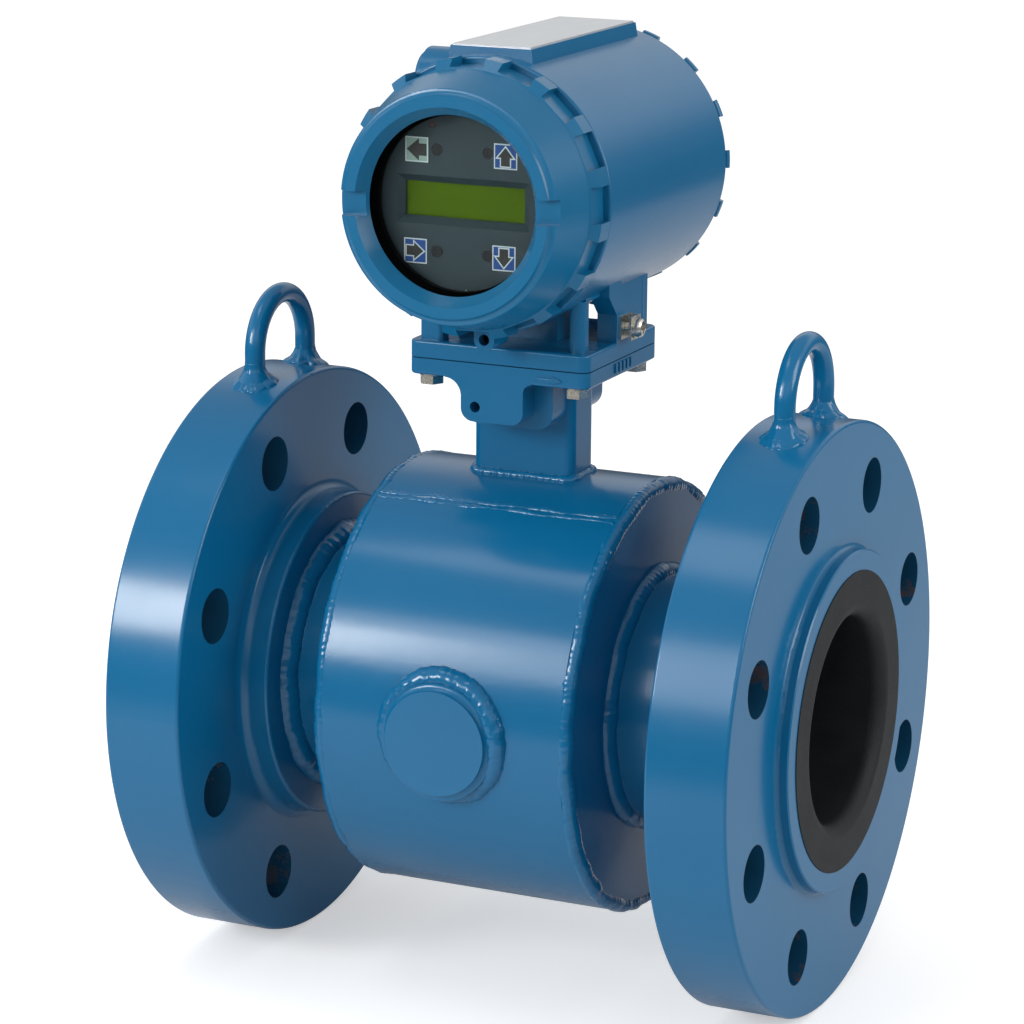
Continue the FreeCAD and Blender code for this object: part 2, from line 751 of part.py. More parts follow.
def electrode(name, axis):
    """A stud whose low domed head is flush with the bore, its shank out through the tube wall."""
    head = electrode_head_diameter / 2
    shank = electrode_shank_diameter / 2
    return node(name, turned([
        (bore_radius, 0),
        (bore_radius + electrode_head_height / 4, head),
        (bore_radius + electrode_head_height, head),
        (bore_radius + electrode_head_height, shank),
        (electrode_reach, shank),
        (electrode_reach, 0),
    ], axis=axis))


electrode("front_electrode", "-y")
electrode("rear_electrode", "y")


def insulator(axis):
    """A flanged sleeve that keeps the electrode clear of the steel tube."""
    bore = electrode_shank_diameter / 2 + inner_fit_gap
    start = bore_radius + electrode_head_height + inner_fit_gap
    seat = tube_radius + inner_fit_gap
    return turned([
        (start, bore), (start, sleeve_radius), (seat, sleeve_radius), (seat, insulator_flange_diameter / 2),
        (seat + insulator_flange_thickness, insulator_flange_diameter / 2), (seat + insulator_flange_thickness, bore),
    ], axis=axis)


node("electrode_insulators", group(insulator("-y"), insulator("y")))


def electrode_nut(axis):
    start = tube_radius + inner_fit_gap * 2 + insulator_flange_thickness
    way = -1 if axis == "-y" else 1
    bar = hex_bar(electrode_nut_width, electrode_nut_height, (0, start * way, 0), axis)
    hole = cylinder(electrode_shank_diameter / 2 + inner_fit_gap, electrode_nut_height, (0, start * way, 0), axis)
    return cut(bar, hole)


node("electrode_nuts", group(electrode_nut("-y"), electrode_nut("y")))

# The electrodes pass through the liner and the tube wall
electrode_way = cylinder(sleeve_radius + inner_fit_gap, tube_diameter * 1.2, (0, tube_diameter * -0.6, 0), "y")
head_way = cylinder(electrode_head_diameter / 2 + inner_fit_gap, (bore_radius + electrode_head_height + inner_fit_gap) * 2,
                    (0, -(bore_radius + electrode_head_height + inner_fit_gap), 0), "y")
flow_tube = nodes.pop([item.Label for item in nodes].index("flow_tube"))
flow_tube.Label = "tube_blank"
node("flow_tube", cut(flow_tube, electrode_way))
node("liner", cut(liner_body, fuse(electrode_way, head_way)))


# ---------------------------------------------------------------------------
# Field coils above and below the tube, their iron, and the band that closes the circuit
# ---------------------------------------------------------------------------
def field_coil(name, way):
    low = coil_base_height if way > 0 else -coil_base_height - coil_height
    ring = cut(cylinder(coil_outer_diameter / 2, coil_height, (0, 0, low)),
               cylinder(coil_inner_diameter / 2, coil_height, (0, 0, low)))
    return node(name, ring)


field_coil("upper_coil", 1)
field_coil("lower_coil", -1)

band_radius = return_band_inner_diameter / 2


def pole_piece(name, way):
    """Iron core through the coil, with a saddle-shaped shoe that lies on the tube."""
    low = 0 if way > 0 else -band_radius
    core = cylinder(pole_diameter / 2, band_radius, (0, 0, low))
    shoe_top = coil_base_height - inner_fit_gap
    shoe = cylinder(pole_shoe_diameter / 2, shoe_top, (0, 0, 0 if way > 0 else -shoe_top))
    inside_band = cylinder(band_radius - inner_fit_gap, pole_shoe_diameter * 2, (-pole_shoe_diameter, 0, 0), "x")
    tube_way = cylinder(tube_radius + inner_fit_gap, pole_shoe_diameter * 2, (-pole_shoe_diameter, 0, 0), "x")
    bore = cylinder(neck_wire_hole_diameter / 2, band_radius * 2, (0, 0, -band_radius))
    return node(name, cut(common(fuse(core, shoe), inside_band), fuse(tube_way, bore)))


pole_piece("upper_pole_piece", 1)
pole_piece("lower_pole_piece", -1)

half_band = return_band_width / 2
return_band = turned([
    (-half_band, band_radius), (-half_band, band_radius + return_band_thickness),
    (half_band, band_radius + return_band_thickness), (half_band, band_radius),
])
band_holes = fuse(cylinder(neck_wire_hole_diameter / 2, band_radius * 3, (0, 0, band_radius * -1.5)),
                  cylinder(cap_radius + cap_fit_gap, band_radius * 3, (0, band_radius * -1.5, -cap_drop), "y"))
node("flux_return_band", cut(return_band, band_holes))


# ---------------------------------------------------------------------------
# Neck: rectangular tube, coped to sit on the round shell
# ---------------------------------------------------------------------------
neck_outside = padded(rounded_rectangle(neck_width, neck_depth, neck_corner), lower_plate_bottom - shell_radius / 2,
                      (0, 0, shell_radius / 2))
neck_inside = padded(rounded_rectangle(neck_width - neck_wall * 2, neck_depth - neck_wall * 2, neck_corner - neck_wall / 2),
                     lower_plate_bottom, (0, 0, 0))
shell_solid = cylinder(shell_radius, coil_housing_length, (-housing_end, 0, 0), "x")
node("neck_tube", cut(neck_outside, fuse(neck_inside, shell_solid)))


# ---------------------------------------------------------------------------
# Lower plate: a casting with a socket for the neck and a hanging tab in front
# ---------------------------------------------------------------------------
def at_base_bolts():
    return [(base_bolt_spacing_x * across / 2, base_bolt_spacing_y * along / 2)
            for across in (-1, 1) for along in (-1, 1)]


def plate_blank(thickness, low):
    return padded(rounded_rectangle(plate_width, plate_depth, plate_corner), thickness, (0, 0, low))


lower_blank = plate_blank(lower_plate_thickness, lower_plate_bottom)
round_edges(lower_blank, plate_edge_round, lies_flat_at(as_size(0)))
half_depth = plate_depth / 2
tab_bottom = lower_plate_bottom - tab_drop
tab_root = lower_plate_bottom + plate_edge_round
tab = padded([
    (-tab_left - tab_root_fillet, tab_root), (-tab_left - tab_root_fillet, lower_plate_bottom),
    (-tab_left, lower_plate_bottom - tab_root_fillet, -tab_root_fillet),
    (-tab_left, tab_bottom + tab_corner), (tab_corner - tab_left, tab_bottom, tab_corner),
    (tab_right - tab_corner, tab_bottom), (tab_right, tab_bottom + tab_corner, tab_corner),
    (tab_right, lower_plate_bottom - tab_root_fillet / 2),
    (tab_right + tab_root_fillet / 2, lower_plate_bottom, -tab_root_fillet / 2),
    (tab_right + tab_root_fillet / 2, tab_root),
], tab_depth, (0, tab_depth - half_depth, 0), "-y")
socket_half_width = socket_width / 2
socket_bottom = lower_plate_bottom - socket_drop
socket = padded([
    (socket_half_width - socket_corner, socket_bottom),
    (socket_half_width, socket_bottom + socket_corner, socket_corner), (socket_half_width, tab_root),
    (-socket_half_width, tab_root), (-socket_half_width, socket_bottom + socket_corner),
    (socket_corner - socket_half_width, socket_bottom, socket_corner),
], half_depth * 2 - tab_depth * 2 + inner_fit_gap, (0, half_depth - tab_depth, 0), "-y")
neck_way = padded(rounded_rectangle(neck_width, neck_depth, neck_corner), lower_plate_bottom, (0, 0, 0))
tab_hole = cylinder(tab_hole_diameter / 2, tab_hole_depth + 1,
                    (-tab_hole_offset, tab_hole_depth - half_depth, lower_plate_bottom - tab_hole_drop), "-y")
bolt_ways = [cylinder(base_bolt_diameter / 2 + screw_clearance, lower_plate_thickness + 2, (x, y, lower_plate_bottom - 1))
             for x, y in at_base_bolts()]
lower_passage = cylinder(wire_passage_diameter / 2, lower_plate_thickness + 2, (0, 0, lower_plate_bottom - 1))
node("junction_plate", cut(fuse(lower_blank, tab, cut(socket, neck_way)), fuse(tab_hole, lower_passage, *bolt_ways)))

# Gasket between the plates
gasket_blank = padded(rounded_rectangle(plate_width - gasket_inset * 2, plate_depth - gasket_inset * 2,
                                        plate_corner - gasket_inset), gasket_thickness, (0, 0, lower_plate_top))
gasket_holes = [cylinder(base_bolt_diameter / 2 + screw_clearance, gasket_thickness * 3, (x, y, lower_plate_top - gasket_thickness))
                for x, y in at_base_bolts()]
gasket_passage = cylinder(wire_passage_diameter / 2, gasket_thickness * 3, (0, 0, lower_plate_top - gasket_thickness))
node("base_gasket", cut(gasket_blank, fuse(gasket_passage, *gasket_holes)))


# Four hexagon bolts and washers that hold the head, put in from below
def base_bolt(x, y):
    seat = lower_plate_bottom - base_washer_thickness
    head = hex_bar(base_bolt_head_width, base_bolt_head_height, (x, y, seat - base_bolt_head_height))
    shank = cylinder(base_bolt_diameter / 2, upper_plate_bottom - seat + base_bolt_engagement, (x, y, seat))
    return fuse(head, shank)


def base_washer(x, y):
    low = lower_plate_bottom - base_washer_thickness
    disc = cylinder(base_washer_diameter / 2, base_washer_thickness, (x, y, low))
    return cut(disc, cylinder(base_bolt_diameter / 2 + screw_clearance / 2, base_washer_thickness, (x, y, low)))


node("base_bolts", group(*[base_bolt(x, y) for x, y in at_base_bolts()]))
node("base_washers", group(*[base_washer(x, y) for x, y in at_base_bolts()]))


# ---------------------------------------------------------------------------
# Transmitter housing: one casting of barrel, pedestal, base plate, name pad and bosses
# ---------------------------------------------------------------------------
def barrel():
    """Outside of the barrel, with its two edges broken where the covers close on it."""
    broken = barrel_radius - barrel_edge_round
    return turned([
        (-barrel_front_reach, 0), (-barrel_front_reach, broken),
        (barrel_edge_round - barrel_front_reach, barrel_radius, -barrel_edge_round),
        (barrel_rear_reach - barrel_edge_round, barrel_radius),
        (barrel_rear_reach, broken, -barrel_edge_round), (barrel_rear_reach, 0),
    ], (0, 0, head_height), "y")


def compartments():
    """The two chambers inside, with a wider bore at each end for the cover's spigot."""
    bore = cover_bore_diameter / 2
    chamber = compartment_diameter / 2
    front = turned([
        (-barrel_front_reach - 1, 0), (-barrel_front_reach - 1, bore), (cover_bore_depth - barrel_front_reach, bore),
        (cover_bore_depth - barrel_front_reach, chamber), (divider_position, chamber), (divider_position, 0),
    ], (0, 0, head_height), "y")
    rear = turned([
        (divider_rear, 0), (divider_rear, chamber), (barrel_rear_reach - cover_bore_depth, chamber),
        (barrel_rear_reach - cover_bore_depth, bore), (barrel_rear_reach + 1, bore), (barrel_rear_reach + 1, 0),
    ], (0, 0, head_height), "y")
    return [front, rear]


def pedestal():
    """Column for the wires, corner posts and two windowed side walls, from the plate to the barrel."""
    low = upper_plate_bottom + upper_plate_thickness / 2
    rise = head_height - low
    half = pedestal_depth / 2
    column = block((column_width, column_depth, rise), (column_width / -2, column_depth / -2, low))
    posts = [cylinder(post_diameter / 2, upper_plate_top + post_height - low, (x, y, low)) for x, y in at_base_bolts()]
    corner_rise = upper_plate_top + post_height - low
    outline = rounded_rectangle(corner_post_width, corner_post_depth, corner_post_round)
    for way in (-1, 1):
        posts.append(padded(outline, corner_rise,
                            (corner_post_width / 2 - half_width, (half - corner_post_depth / 2) * way, low)))
    walls = []
    for way in (-1, 1):
        inner = (half_width - side_wall_thickness) if way > 0 else -half_width
        wall = block((side_wall_thickness, half + side_wall_front, rise), (inner, -side_wall_front, low))
        window = block((side_wall_thickness + 2, side_window_front - side_window_rear, side_window_height),
                       (inner - 1, -side_window_front, upper_plate_top))
        walls.append(cut(wall, window))
        walls.append(leaning_rib(way, low))
    return [column, *posts, *walls]


def leaning_rib(way, low):
    """Rib from the plate's edge to the barrel; its foot carries the ground screw on one side."""
    shoulder = upper_plate_top + rib_shoulder
    top = upper_plate_top + side_window_height
    high = head_height - barrel_radius / 2
    depth = plate_width / 2 - half_width + side_wall_thickness
    foot_rear = rib_width - side_window_rear
    return padded([
        (foot_rear, low), (foot_rear, shoulder), (foot_rear - rib_lean, top), (foot_rear - rib_lean, high),
        (-side_window_rear - rib_lean, high), (-side_window_rear - rib_lean, top),
        (-side_window_rear, shoulder), (-side_window_rear, low),
    ], depth, ((plate_width / 2 - depth) if way > 0 else plate_width / -2, 0, 0), "x")


def name_pad():
    """Flat-topped pad with sloping sides along the top of the barrel."""
    pad = doc.addObject("Part::Wedge", "NamePad")
    run = name_pad_front + name_pad_rear
    bind(pad, Xmin=name_pad_base_width / -2, Xmax=name_pad_base_width / 2, X2min=name_pad_width / -2,
         X2max=name_pad_width / 2, Ymin=0, Ymax=name_pad_height - barrel_radius * 0.9,
         Zmin=0, Zmax=run, Z2min=name_pad_slope / 4, Z2max=run - name_pad_slope / 4)
    place(pad, Rotation(Vector(1, 0, 0), 90), (0, name_pad_rear, head_height + barrel_radius * 0.9))
    return pad


def conduit_heights():
    return [head_height + conduit_boss_spacing / 2, head_height - conduit_boss_spacing / 2]


def conduit_boss(height):
    radius = conduit_boss_diameter / 2
    return turned([
        (barrel_radius / 2, 0), (barrel_radius / 2, radius), (conduit_boss_reach - boss_edge_round, radius),
        (conduit_boss_reach, radius - boss_edge_round, boss_edge_round), (conduit_boss_reach, 0),
    ], (0, conduit_boss_position, height), "-x")


def conduit_bore(height):
    return cylinder(conduit_bore_diameter / 2, conduit_bore_depth + 1,
                    (-conduit_boss_reach - 1, conduit_boss_position, height), "x")


jam_height = head_height - jam_boss_drop


def jam_boss(way):
    """Boss for the set screw that locks a cover, joined to the barrel by a web above it."""
    end = -barrel_front_reach if way < 0 else barrel_rear_reach - jam_boss_length
    x = jam_boss_offset
    radius = jam_boss_diameter / 2
    web = block((jam_boss_diameter, jam_boss_length, jam_boss_drop - barrel_radius * 0.9), (x - radius, end, jam_height))
    return [cylinder(radius, jam_boss_length, (x, end, jam_height), "y"), web]


def jam_hole(way):
    end = -barrel_front_reach - 1 if way < 0 else barrel_rear_reach - jam_boss_length - 1
    return cylinder(jam_screw_diameter / 2 + inner_fit_gap, jam_boss_length + 2, (jam_boss_offset, end, jam_height), "y")


feed_height = head_height - feedthrough_drop
half_width = pedestal_width / 2
ground_seat = plate_width / 2
ground_level = upper_plate_top + ground_height
upper_blank = plate_blank(upper_plate_thickness, upper_plate_bottom)
round_edges(upper_blank, plate_edge_round, lies_flat_at(upper_plate_thickness))
casting = fuse(barrel(), *pedestal(), upper_blank, name_pad(), *[conduit_boss(z) for z in conduit_heights()],
               *jam_boss(-1), *jam_boss(1))
head_passage = cylinder(wire_passage_diameter / 2, head_height - upper_plate_bottom, (0, 0, upper_plate_bottom - 1))
bolt_taps = [cylinder(base_bolt_diameter / 2 + inner_fit_gap, base_bolt_engagement + 2, (x, y, upper_plate_bottom - 1))
             for x, y in at_base_bolts()]
ground_tap = cylinder(ground_screw_diameter / 2 + inner_fit_gap, ground_screw_depth + 1,
                      (ground_seat - ground_screw_depth - 1, ground_position, ground_level), "x")
feed_hole = cylinder(feedthrough_diameter / 2 + inner_fit_gap, divider_thickness * 3,
                     (0, divider_position - divider_thickness, feed_height), "y")
hollows = fuse(*compartments(), head_passage, *bolt_taps, *[conduit_bore(z) for z in conduit_heights()],
               jam_hole(-1), jam_hole(1), ground_tap, feed_hole)
node("transmitter_housing", cut(casting, hollows))

# Blank metal plate fixed on the name pad
plate_run = name_pad_front + name_pad_rear - name_plate_margin * 2 - name_pad_slope / 2
plate_across = name_pad_width - name_plate_margin * 2
node("name_plate", block((plate_across, plate_run, name_plate_thickness),
                         (plate_across / -2, name_plate_margin + name_pad_slope / 4 - name_pad_front,
                          head_height + name_pad_height)))


# Set screws that lock the covers, one under each
def jam_screw(way):
    low = jam_screw_recess - barrel_front_reach if way < 0 else barrel_rear_reach - jam_screw_recess - jam_screw_length
    x = jam_boss_offset
    rod = cylinder(jam_screw_diameter / 2, jam_screw_length, (x, low, jam_height), "y")
    socket_low = low - 1 if way < 0 else low + jam_screw_length - 3
    return cut(rod, hex_bar(jam_socket_width, 4, (x, socket_low, jam_height), "y"))


node("jam_screws", group(jam_screw(-1), jam_screw(1)))

# Ground terminal: folded saddle clamp and its cross-recess screw on the side wall
clamp_low = (ground_seat, ground_position - clamp_width / 2, ground_level - clamp_height / 2)
clamp_outside = block((clamp_depth, clamp_width, clamp_height), clamp_low)
clamp_slot = block((clamp_depth - clamp_sheet * 2, clamp_width, clamp_height),
                   (ground_seat + clamp_sheet, clamp_low[1] - clamp_sheet, clamp_low[2]))
clamp_hole = cylinder(ground_screw_diameter / 2 + inner_fit_gap, clamp_depth * 2, (ground_seat - 1, ground_position, ground_level), "x")
node("ground_clamp", cut(clamp_outside, fuse(clamp_slot, clamp_hole)))
screw_seat = ground_seat + clamp_depth
screw_head = ground_screw_head_diameter / 2
node("ground_screw", turned([
    (ground_seat - ground_screw_depth, 0), (ground_seat - ground_screw_depth, ground_screw_diameter / 2),
    (screw_seat, ground_screw_diameter / 2), (screw_seat, screw_head),
    (screw_seat + ground_screw_head_height / 2, screw_head),
    (screw_seat + ground_screw_head_height, screw_head / 2), (screw_seat + ground_screw_head_height, 0),
], (0, ground_position, ground_level), "x"))


# ---------------------------------------------------------------------------
# Covers: threaded caps with a lugged rim for the hand and two notches for a wrench
# ---------------------------------------------------------------------------
spigot_radius = cover_bore_diameter / 2 - spigot_clearance
cavity_radius = cover_cavity_diameter / 2
window_radius = window_diameter / 2
rim_radius = cover_rim_diameter / 2
flank_radius = cover_flank_diameter / 2
cover_face_radius = cover_face_diameter / 2
groove_width = oring_section + oring_groove_margin
oring_mean_radius = cover_bore_diameter / 2 - oring_bore_clearance - oring_section / 2
groove_floor = oring_mean_radius - oring_section / 2 - oring_bore_clearance / 2


def cover(name, shoulder, height, rim_width, inside, turn, axis):
    """Profile steps run from the spigot out over the rim and flank to the face, then inside."""
    face_at = shoulder + height
    rim_front = shoulder + rim_width
    groove_at = shoulder - oring_set_back
    body = turned([
        (shoulder - spigot_length, cavity_radius),
        (shoulder - spigot_length, spigot_radius - 1),
        (shoulder - spigot_length + 1, spigot_radius),
        (groove_at - groove_width, spigot_radius),
        (groove_at - groove_width, groove_floor),
        (groove_at, groove_floor),
        (groove_at, spigot_radius),
        (shoulder, spigot_radius),
        (shoulder, rim_radius - 1),
        (shoulder + 1, rim_radius, -1),
        (rim_front - cover_rim_bevel, rim_radius),
        (rim_front, flank_radius),
        (face_at - cover_face_round, cover_face_radius + cover_face_round / 4),
        (face_at, cover_face_radius - cover_face_round, cover_face_round * 1.25),
    ] + inside, (0, 0, head_height), axis)
    reach = rim_radius + 5
    half_pocket = lug_pocket_width / 2
    floor = lug_floor_diameter / 2
    lug_gap = sketch(body, "YZ_Plane", [
        (half_pocket, floor), (half_pocket, reach), (-half_pocket, reach), (-half_pocket, floor)], "LugGap")
    bind(lug_gap, AttachmentOffset__Base__z=shoulder - 1)
    pocket_ring(body, lug_gap, lug_count, rim_width + 1)
    half_notch = notch_width / 2
    notch_start = window_radius - notch_depth
    slot = sketch(body, "YZ_Plane", [
        (reach, half_notch), (notch_start, half_notch), (notch_start, -half_notch), (reach, -half_notch)], "WrenchNotch")
    bind(slot, AttachmentOffset__Base__z=face_at - notch_depth)
    pocket_ring(body, slot, 2, notch_depth + 1)
    for outline in (lug_gap, slot):
        outline.setExpression("AttachmentOffset.Rotation.Angle", "%s * 1 deg" % turn.formula)
    return node(name, body)


front_face = front_shoulder + front_cover_height
glass_front = front_face - glass_set_back
glass_back = glass_front - glass_thickness
retainer_back = glass_back - retainer_thickness
glass_radius = glass_diameter / 2
glass_seat = glass_radius + glass_clearance
retainer_seat = glass_radius + glass_clearance * 3
front_inside = [
    (front_face, window_radius + window_bevel),
    (glass_front, window_radius),
    (glass_front, glass_seat),
    (glass_back, glass_seat),
    (glass_back, retainer_seat),
    (retainer_back, retainer_seat),
    (retainer_back, cavity_radius),
]
rear_face = rear_shoulder + rear_cover_height
rear_inside = [
    (rear_face, cover_face_radius - notch_width),
    (rear_face - rear_face_recess, cover_face_radius - notch_width - rear_face_recess),
    (rear_face - rear_face_recess, 0),
    (rear_face - rear_cover_thickness, 0),
    (rear_face - rear_cover_thickness, cavity_radius),
]
cover("front_cover", front_shoulder, front_cover_height, cover_rim_width, front_inside, front_cover_turn, "-y")
cover("rear_cover", rear_shoulder, rear_cover_height, rear_rim_width, rear_inside, rear_cover_turn, "y")

node("front_cover_glass", cylinder(glass_radius, glass_thickness, (0, -glass_front, head_height), "y"))
node("glass_retaining_ring", turned([
    (retainer_back, glass_radius - retainer_width), (retainer_back, glass_radius + glass_clearance),
    (glass_back, glass_radius + glass_clearance), (glass_back, glass_radius - retainer_width),
], (0, 0, head_height), "-y"))


def cover_oring(name, shoulder, way):
    ring = doc.addObject("Part::Torus", "Ring")
    bind(ring, Radius1=oring_mean_radius, Radius2=oring_section / 2)
    centre = shoulder - oring_set_back - groove_width / 2
    place(ring, STANDS["y"], (0, centre * way, head_height))
    return node(name, ring)


cover_oring("front_cover_oring", front_shoulder, -1)
cover_oring("rear_cover_oring", rear_shoulder, 1)


# ---------------------------------------------------------------------------
# Display: bezel plate with a sloped window, LCD panel, four optical switches and a lamp
# ---------------------------------------------------------------------------
display_back = display_reach - display_thickness
bezel_disc = cylinder(display_diameter / 2, display_thickness, (0, -display_reach, head_height), "y")
lcd_window = block((lcd_view_width, display_thickness * 3, lcd_view_height),
                   (lcd_view_width / -2, -display_reach - display_thickness, head_height - lcd_view_height / 2))
lcd_slope = doc.addObject("Part::Wedge", "WindowSlope")
slope_depth = display_thickness * 0.6
bind(lcd_slope, Xmin=lcd_view_width / -2 - lcd_bevel, Xmax=lcd_view_width / 2 + lcd_bevel,
     X2min=lcd_view_width / -2, X2max=lcd_view_width / 2, Ymin=0, Ymax=slope_depth,
     Zmin=lcd_view_height / -2 - lcd_bevel, Zmax=lcd_view_height / 2 + lcd_bevel,
     Z2min=lcd_view_height / -2, Z2max=lcd_view_height / 2)
place(lcd_slope, Rotation(), (0, -display_reach, head_height))


def switch_places():
    return [(switch_spacing_x * across / 2, head_height + switch_spacing_z * up / 2)
            for across in (-1, 1) for up in (-1, 1)]


lens_radius = switch_lens_diameter / 2
led_place = (-led_offset_x, head_height + led_offset_z)
bezel_holes = [cylinder(lens_radius + inner_fit_gap, display_thickness * 3, (x, -display_reach - display_thickness, z), "y")
               for x, z in switch_places()]
bezel_holes.append(cylinder(led_diameter / 2 + inner_fit_gap, display_thickness * 3,
                            (led_place[0], -display_reach - display_thickness, led_place[1]), "y"))
node("display_bezel", cut(bezel_disc, fuse(lcd_window, lcd_slope, *bezel_holes)))
node("switch_lenses", group(*[cylinder(lens_radius, display_thickness, (x, -display_reach, z), "y")
                              for x, z in switch_places()]))
node("status_lamp", cylinder(led_diameter / 2, display_thickness, (led_place[0], -display_reach, led_place[1]), "y"))
lcd_front = display_back - inner_fit_gap
node("lcd_panel", block((lcd_view_width + lcd_margin * 2, lcd_thickness, lcd_view_height + lcd_margin * 2),
                        (lcd_view_width / -2 - lcd_margin, -lcd_front, head_height - lcd_view_height / 2 - lcd_margin)))


# ---------------------------------------------------------------------------
# Electronics: display board, two round boards on spacers, carrier plate on the divider
# ---------------------------------------------------------------------------
def board(name, diameter, reach):
    return node(name, cylinder(diameter / 2, board_thickness, (0, -reach, head_height), "y"))


def spacers(name, front, back):
    """Three posts in a ring that run from one board to the next."""
    radius = spacer_circle / 2
    posts = []
    for turn in range(spacer_count):
        angle = 2 * math.pi * turn / spacer_count + math.pi / 2
        x, z = radius * math.cos(angle), head_height + radius * math.sin(angle)
        posts.append(cylinder(spacer_diameter / 2, front - back, (x, -front, z), "y"))
    return node(name, group(*posts))


display_board_reach = lcd_front - lcd_thickness - display_board_gap
carrier_front = carrier_thickness - divider_position
board("display_board", display_board_diameter, display_board_reach)
board("main_board", main_board_diameter, main_board_reach)
board("power_board", main_board_diameter, power_board_reach)
spacers("display_spacers", display_board_reach - board_thickness, main_board_reach)
spacers("main_board_spacers", main_board_reach - board_thickness, power_board_reach)
spacers("power_board_spacers", power_board_reach - board_thickness, carrier_front)
carrier_disc = cylinder(main_board_diameter / 2, carrier_thickness, (0, divider_position - carrier_thickness, head_height), "y")
carrier_hole = cylinder(feedthrough_flange_diameter / 2 + 1, carrier_thickness * 3,
                        (0, divider_position - carrier_thickness * 2, feed_height), "y")
node("board_carrier", cut(carrier_disc, carrier_hole))

# Sealed feedthrough that takes the wires through the divider
node("feedthrough", turned([
    (divider_position - feedthrough_flange_thickness, 0),
    (divider_position - feedthrough_flange_thickness, feedthrough_flange_diameter / 2),
    (divider_position, feedthrough_flange_diameter / 2), (divider_position, feedthrough_diameter / 2),
    (divider_rear + 2, feedthrough_diameter / 2), (divider_rear + 2, 0),
], (0, 0, feed_height), "y"))

# Terminal block in the rear compartment, with barriers between its screws
block_low = head_height - feedthrough_drop / 4
block_body = block((terminal_block_width, terminal_block_depth, terminal_block_height),
                   (terminal_block_width / -2, divider_rear, block_low))
row_start = terminal_pitch * (terminal_count - 1) / -2
screw_row = block_low + terminal_block_height / 2
barriers = [block((terminal_barrier, terminal_barrier_height + 1, terminal_block_height),
                  (row_start + terminal_pitch * (n - 0.5) - terminal_barrier / 2,
                   divider_rear + terminal_block_depth - 1, block_low)) for n in range(terminal_count + 1)]
node("terminal_block", fuse(block_body, *barriers))
terminal_face = divider_rear + terminal_block_depth
terminal_screws = []
for n in range(terminal_count):
    x = row_start + terminal_pitch * n
    head = cylinder(terminal_screw_diameter / 2, terminal_screw_height, (x, terminal_face, screw_row), "y")
    driver_slot = block((terminal_screw_diameter, terminal_screw_height, terminal_screw_diameter / 6),
                        (x - terminal_screw_diameter / 2, terminal_face + terminal_screw_height / 2,
                         screw_row - terminal_screw_diameter / 12))
    terminal_screws.append(cut(head, driver_slot))
node("terminal_screws", group(*terminal_screws))


# ---------------------------------------------------------------------------
# Check every object, then write one file for each node
# ---------------------------------------------------------------------------
doc.recompute()
for item in doc.Objects:
    if "Invalid" in item.State or "Error" in item.State:
        raise RuntimeError("%s (%s) failed: %s" % (item.Name, item.Label, item.State))
for item in nodes:
    if item.Shape.isNull() or not item.Shape.isValid():
        raise RuntimeError("%s has no valid shape" % item.Label)

os.makedirs("parts", exist_ok=True)
for item in nodes:
    item.Shape.exportStep(os.path.join("parts", item.Label + ".step"))
    print("%-24s %8.1f cm3, %d solids" % (item.Label, item.Shape.Volume / 1000, len(item.Shape.Solids)))
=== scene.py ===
import math
import random

import bmesh
import bpy
from mathutils import Matrix, Vector


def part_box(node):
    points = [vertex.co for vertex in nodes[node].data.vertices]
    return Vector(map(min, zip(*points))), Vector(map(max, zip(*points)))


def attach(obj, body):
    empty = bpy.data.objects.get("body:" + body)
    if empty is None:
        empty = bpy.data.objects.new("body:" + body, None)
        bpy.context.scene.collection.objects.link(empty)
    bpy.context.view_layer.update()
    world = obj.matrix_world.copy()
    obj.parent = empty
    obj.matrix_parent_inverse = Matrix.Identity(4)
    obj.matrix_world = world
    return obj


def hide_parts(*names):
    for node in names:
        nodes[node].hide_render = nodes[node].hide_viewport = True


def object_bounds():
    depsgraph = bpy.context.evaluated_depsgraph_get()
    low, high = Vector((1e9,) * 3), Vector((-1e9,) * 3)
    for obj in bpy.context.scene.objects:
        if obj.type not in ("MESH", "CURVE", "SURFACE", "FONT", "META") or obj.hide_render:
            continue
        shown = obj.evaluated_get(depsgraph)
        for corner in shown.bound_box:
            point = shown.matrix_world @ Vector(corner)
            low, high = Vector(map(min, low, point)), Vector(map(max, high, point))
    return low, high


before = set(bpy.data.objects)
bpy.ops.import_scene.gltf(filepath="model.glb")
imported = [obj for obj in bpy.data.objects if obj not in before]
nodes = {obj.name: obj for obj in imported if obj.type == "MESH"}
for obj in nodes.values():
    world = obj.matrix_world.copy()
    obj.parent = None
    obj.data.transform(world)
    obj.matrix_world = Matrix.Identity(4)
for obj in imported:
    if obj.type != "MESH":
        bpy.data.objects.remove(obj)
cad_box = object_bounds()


# ---------------------------------------------------------------------------------------------
# Flanges.  Forged steel rings with a raised face and a short hub, sprayed with blue gloss
# enamel.  The walls of the bolt holes are coloured darker, and brown rust has started there.
# ---------------------------------------------------------------------------------------------
def linear(red, green, blue):
    """A colour as read off a chart, 0 to 255 for each part, in the renderer's own linear scale."""
    parts = []
    for part in (red, green, blue):
        share = part / 255
        parts.append(((share + 0.055) / 1.055) ** 2.4 if part > 10 else share / 12.92)
    return (*parts, 1.0)


def new_group(name, inputs, outputs):
    """An empty shader group with float or colour sockets; returns tree, way in and way out."""
    tree = bpy.data.node_groups.new(name, "ShaderNodeTree")
    for label, kind, value in inputs:
        socket = tree.interface.new_socket(label, in_out="INPUT", socket_type="NodeSocket" + kind)
        socket.default_value = value
    for label, kind in outputs:
        tree.interface.new_socket(label, in_out="OUTPUT", socket_type="NodeSocket" + kind)
    return tree, tree.nodes.new("NodeGroupInput"), tree.nodes.new("NodeGroupOutput")


